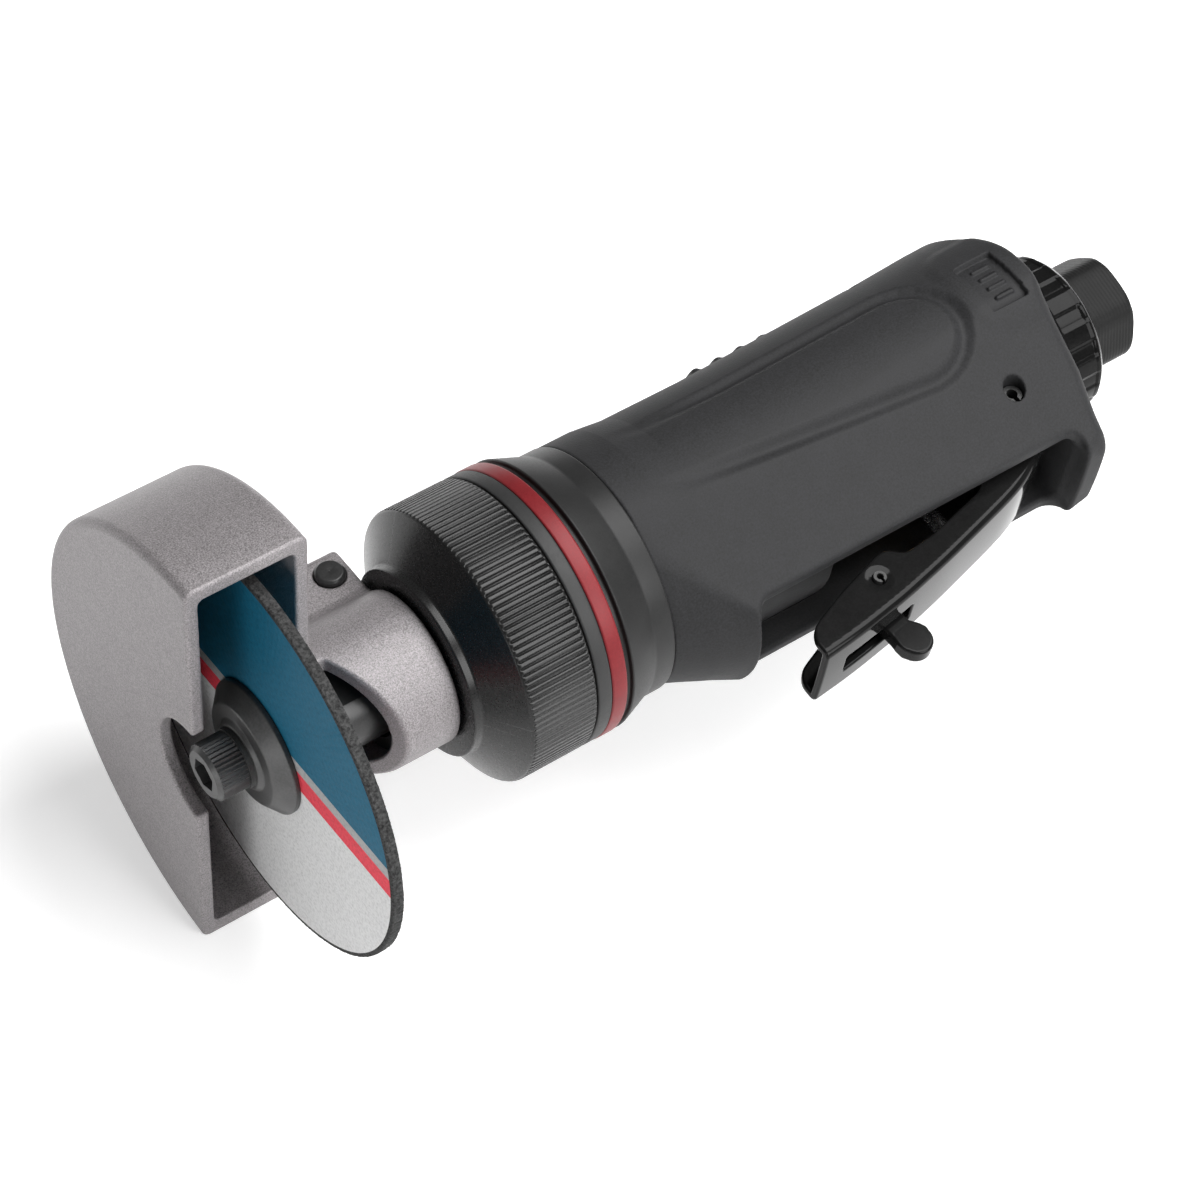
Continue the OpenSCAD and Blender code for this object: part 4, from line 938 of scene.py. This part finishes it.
WARM = (1.05, 0.98, 1)
FINISHES = {
    "charcoal_composite": dict(dark=grey(0.014), light=grey(0.026, (1, 1, 1.08)), rough=(0.56, 0.68),
                               grain=2800, height=0.00008, broad_share=0.15, sheen=0.22),
    "cast_grey": dict(dark=grey(0.11, WARM), light=grey(0.34, WARM), rough=(0.36, 0.56), metallic=0.35,
                      grain=4200, height=0.00014, strength=0.7, broad_share=0.08),
    "bright_steel": dict(dark=grey(0.045), light=grey(0.085), rough=(0.34, 0.46), metallic=0.4,
                         grain=2600, height=0.00003, strength=0.3),
    "dark_steel": dict(dark=grey(0.02), light=grey(0.035), rough=(0.3, 0.42), metallic=0.3,
                       grain=2600, height=0.00003, strength=0.3),
    "seal_rubber": dict(dark=grey(0.008), light=grey(0.014), rough=(0.55, 0.7),
                        grain=3000, height=0.00003, strength=0.3),
    # the edge colour lightens pointed edges and knurl crests: partly bare wear, partly a painted highlight
    "black_anodised": dict(dark=grey(0.006), light=grey(0.012), rough=(0.26, 0.3), metallic=0.1,
                           grain=2600, height=0.000004, strength=0.2, edge=grey(0.05), sheen=0.32),
    "matt_black": dict(dark=grey(0.018), light=grey(0.028), rough=(0.45, 0.6), metallic=0.1,
                       grain=3200, height=0.00004, strength=0.4, sheen=0.35),
    "red_anodised": dict(dark=(0.14, 0.009, 0.012, 1), light=(0.2, 0.014, 0.018, 1), rough=(0.36, 0.46),
                         metallic=0.1, grain=2600, height=0.00002, strength=0.2, sheen=0.25),
    "bearing_steel": dict(dark=grey(0.5), light=grey(0.62), rough=(0.2, 0.32), metallic=1.0,
                          grain=2600, height=0.00002, strength=0.2),
    "vane_laminate": dict(dark=(0.1, 0.05, 0.02, 1), light=(0.2, 0.1, 0.045, 1), rough=(0.5, 0.65),
                          grain=1800, height=0.00004, strength=0.4),
    "gloss_black": dict(dark=grey(0.005), light=grey(0.009), rough=(0.08, 0.11),
                        grain=2600, height=0.000004, strength=0.2, ior=1.2),
    "spring_steel": dict(dark=grey(0.3), light=grey(0.45), rough=(0.22, 0.34), metallic=1.0,
                         grain=2600, height=0.00002, strength=0.2),
    "brass_bush": dict(dark=(0.5, 0.33, 0.1, 1), light=(0.62, 0.43, 0.16, 1), rough=(0.24, 0.36),
                       metallic=1.0, grain=2400, height=0.00002, strength=0.2),
    "blued_steel": dict(dark=grey(0.03), light=grey(0.05), rough=(0.34, 0.44), metallic=0.3,
                        grain=2600, height=0.00001, strength=0.2, sheen=0.35),
    "satin_black": dict(dark=grey(0.012), light=grey(0.018), rough=(0.36, 0.46),
                        grain=3200, height=0.00003, strength=0.3, sheen=0.22),
    "turned_black": dict(dark=grey(0.011), light=grey(0.017), rough=(0.36, 0.46),
                         grain=2600, height=0.00002, strength=0.45, sheen=0.07, lines=0.0007),
    "strainer_steel": dict(dark=grey(0.4), light=grey(0.55), rough=(0.3, 0.45), metallic=1.0,
                           grain=2600, height=0.00003, strength=0.3),
    "gloss_polymer": dict(dark=grey(0.004), light=grey(0.008), rough=(0.08, 0.12),
                          grain=2600, height=0.000004, strength=0.2, sheen=0.14, ior=1.36),
}
MATERIALS = {name: grained(name, **finish) for name, finish in FINISHES.items()}
MATERIALS["abrasive"] = disc_print()


def dress_nodes():
    for row in frame["record"]["subparts"]:
        mesh = NODES[row["node"]].data
        mesh.materials.clear()
        mesh.materials.append(MATERIALS[row["material_slot"]])


# floor and light
FLOOR_SIZE, FLOOR_SHADE, FLOOR_GLOW = 6.0, 0.82, 0.45
SKY = 0.22
# each lamp's name, its place from the middle of the tool, its size in metres and its power in watts
LAMPS = [("high", (0.4, -0.05, 0.9), (0.75, 0.7), 13.5),
         ("low", (0.3, -0.8, 0.55), (0.6, 0.6), 8),
         ("front", (-0.85, -0.3, 0.12), (0.4, 0.4), 2.0)]


def make_floor():
    bpy.ops.mesh.primitive_plane_add(size=FLOOR_SIZE, location=(0, 0, CAD_BOX[0].z))
    floor = bpy.context.object
    floor.name = "floor"
    material, tree, shader = new_material("floor")
    shader.inputs["Base Color"].default_value = grey(FLOOR_SHADE)
    shader.inputs["Roughness"].default_value = 0.9
    path = tree.nodes.new("ShaderNodeLightPath").outputs
    seen = math_node(tree, "MAXIMUM", path["Is Camera Ray"], path["Is Glossy Ray"])
    shader.inputs["Emission Color"].default_value = grey(1.0)
    tree.links.new(math_node(tree, "MULTIPLY", seen, FLOOR_GLOW), shader.inputs["Emission Strength"])
    floor.data.materials.append(material)


def area_light(name, at, target, size, power):
    data = bpy.data.lights.new(name, "AREA")
    data.shape = "RECTANGLE"
    data.size, data.size_y = size
    data.energy = power
    lamp = bpy.data.objects.new(name, data)
    bpy.context.scene.collection.objects.link(lamp)
    lamp.location = at
    lamp.rotation_mode = "QUATERNION"
    lamp.rotation_quaternion = (target - at).to_track_quat("-Z", "Y")


def make_light():
    world = bpy.data.worlds.new("world")
    bpy.context.scene.world = world
    world.use_nodes = True
    sky = world.node_tree.nodes["Background"]
    sky.inputs["Color"].default_value = grey(1.0)
    sky.inputs["Strength"].default_value = SKY
    centre = (CAD_BOX[0] + CAD_BOX[1]) / 2
    for name, offset, size, power in LAMPS:
        area_light(name, centre + Vector(offset), centre, size, power)


make_camera()
dress_nodes()
make_grip()
make_guard()
make_clamp_screw()
make_lever()
make_latch()
make_ring()
make_bush()
make_valve_spring()
make_nut()
make_rings()
make_housing()
make_disc()
make_flange()
make_floor()
make_light()
bpy.context.scene.view_settings.view_transform = "Standard"
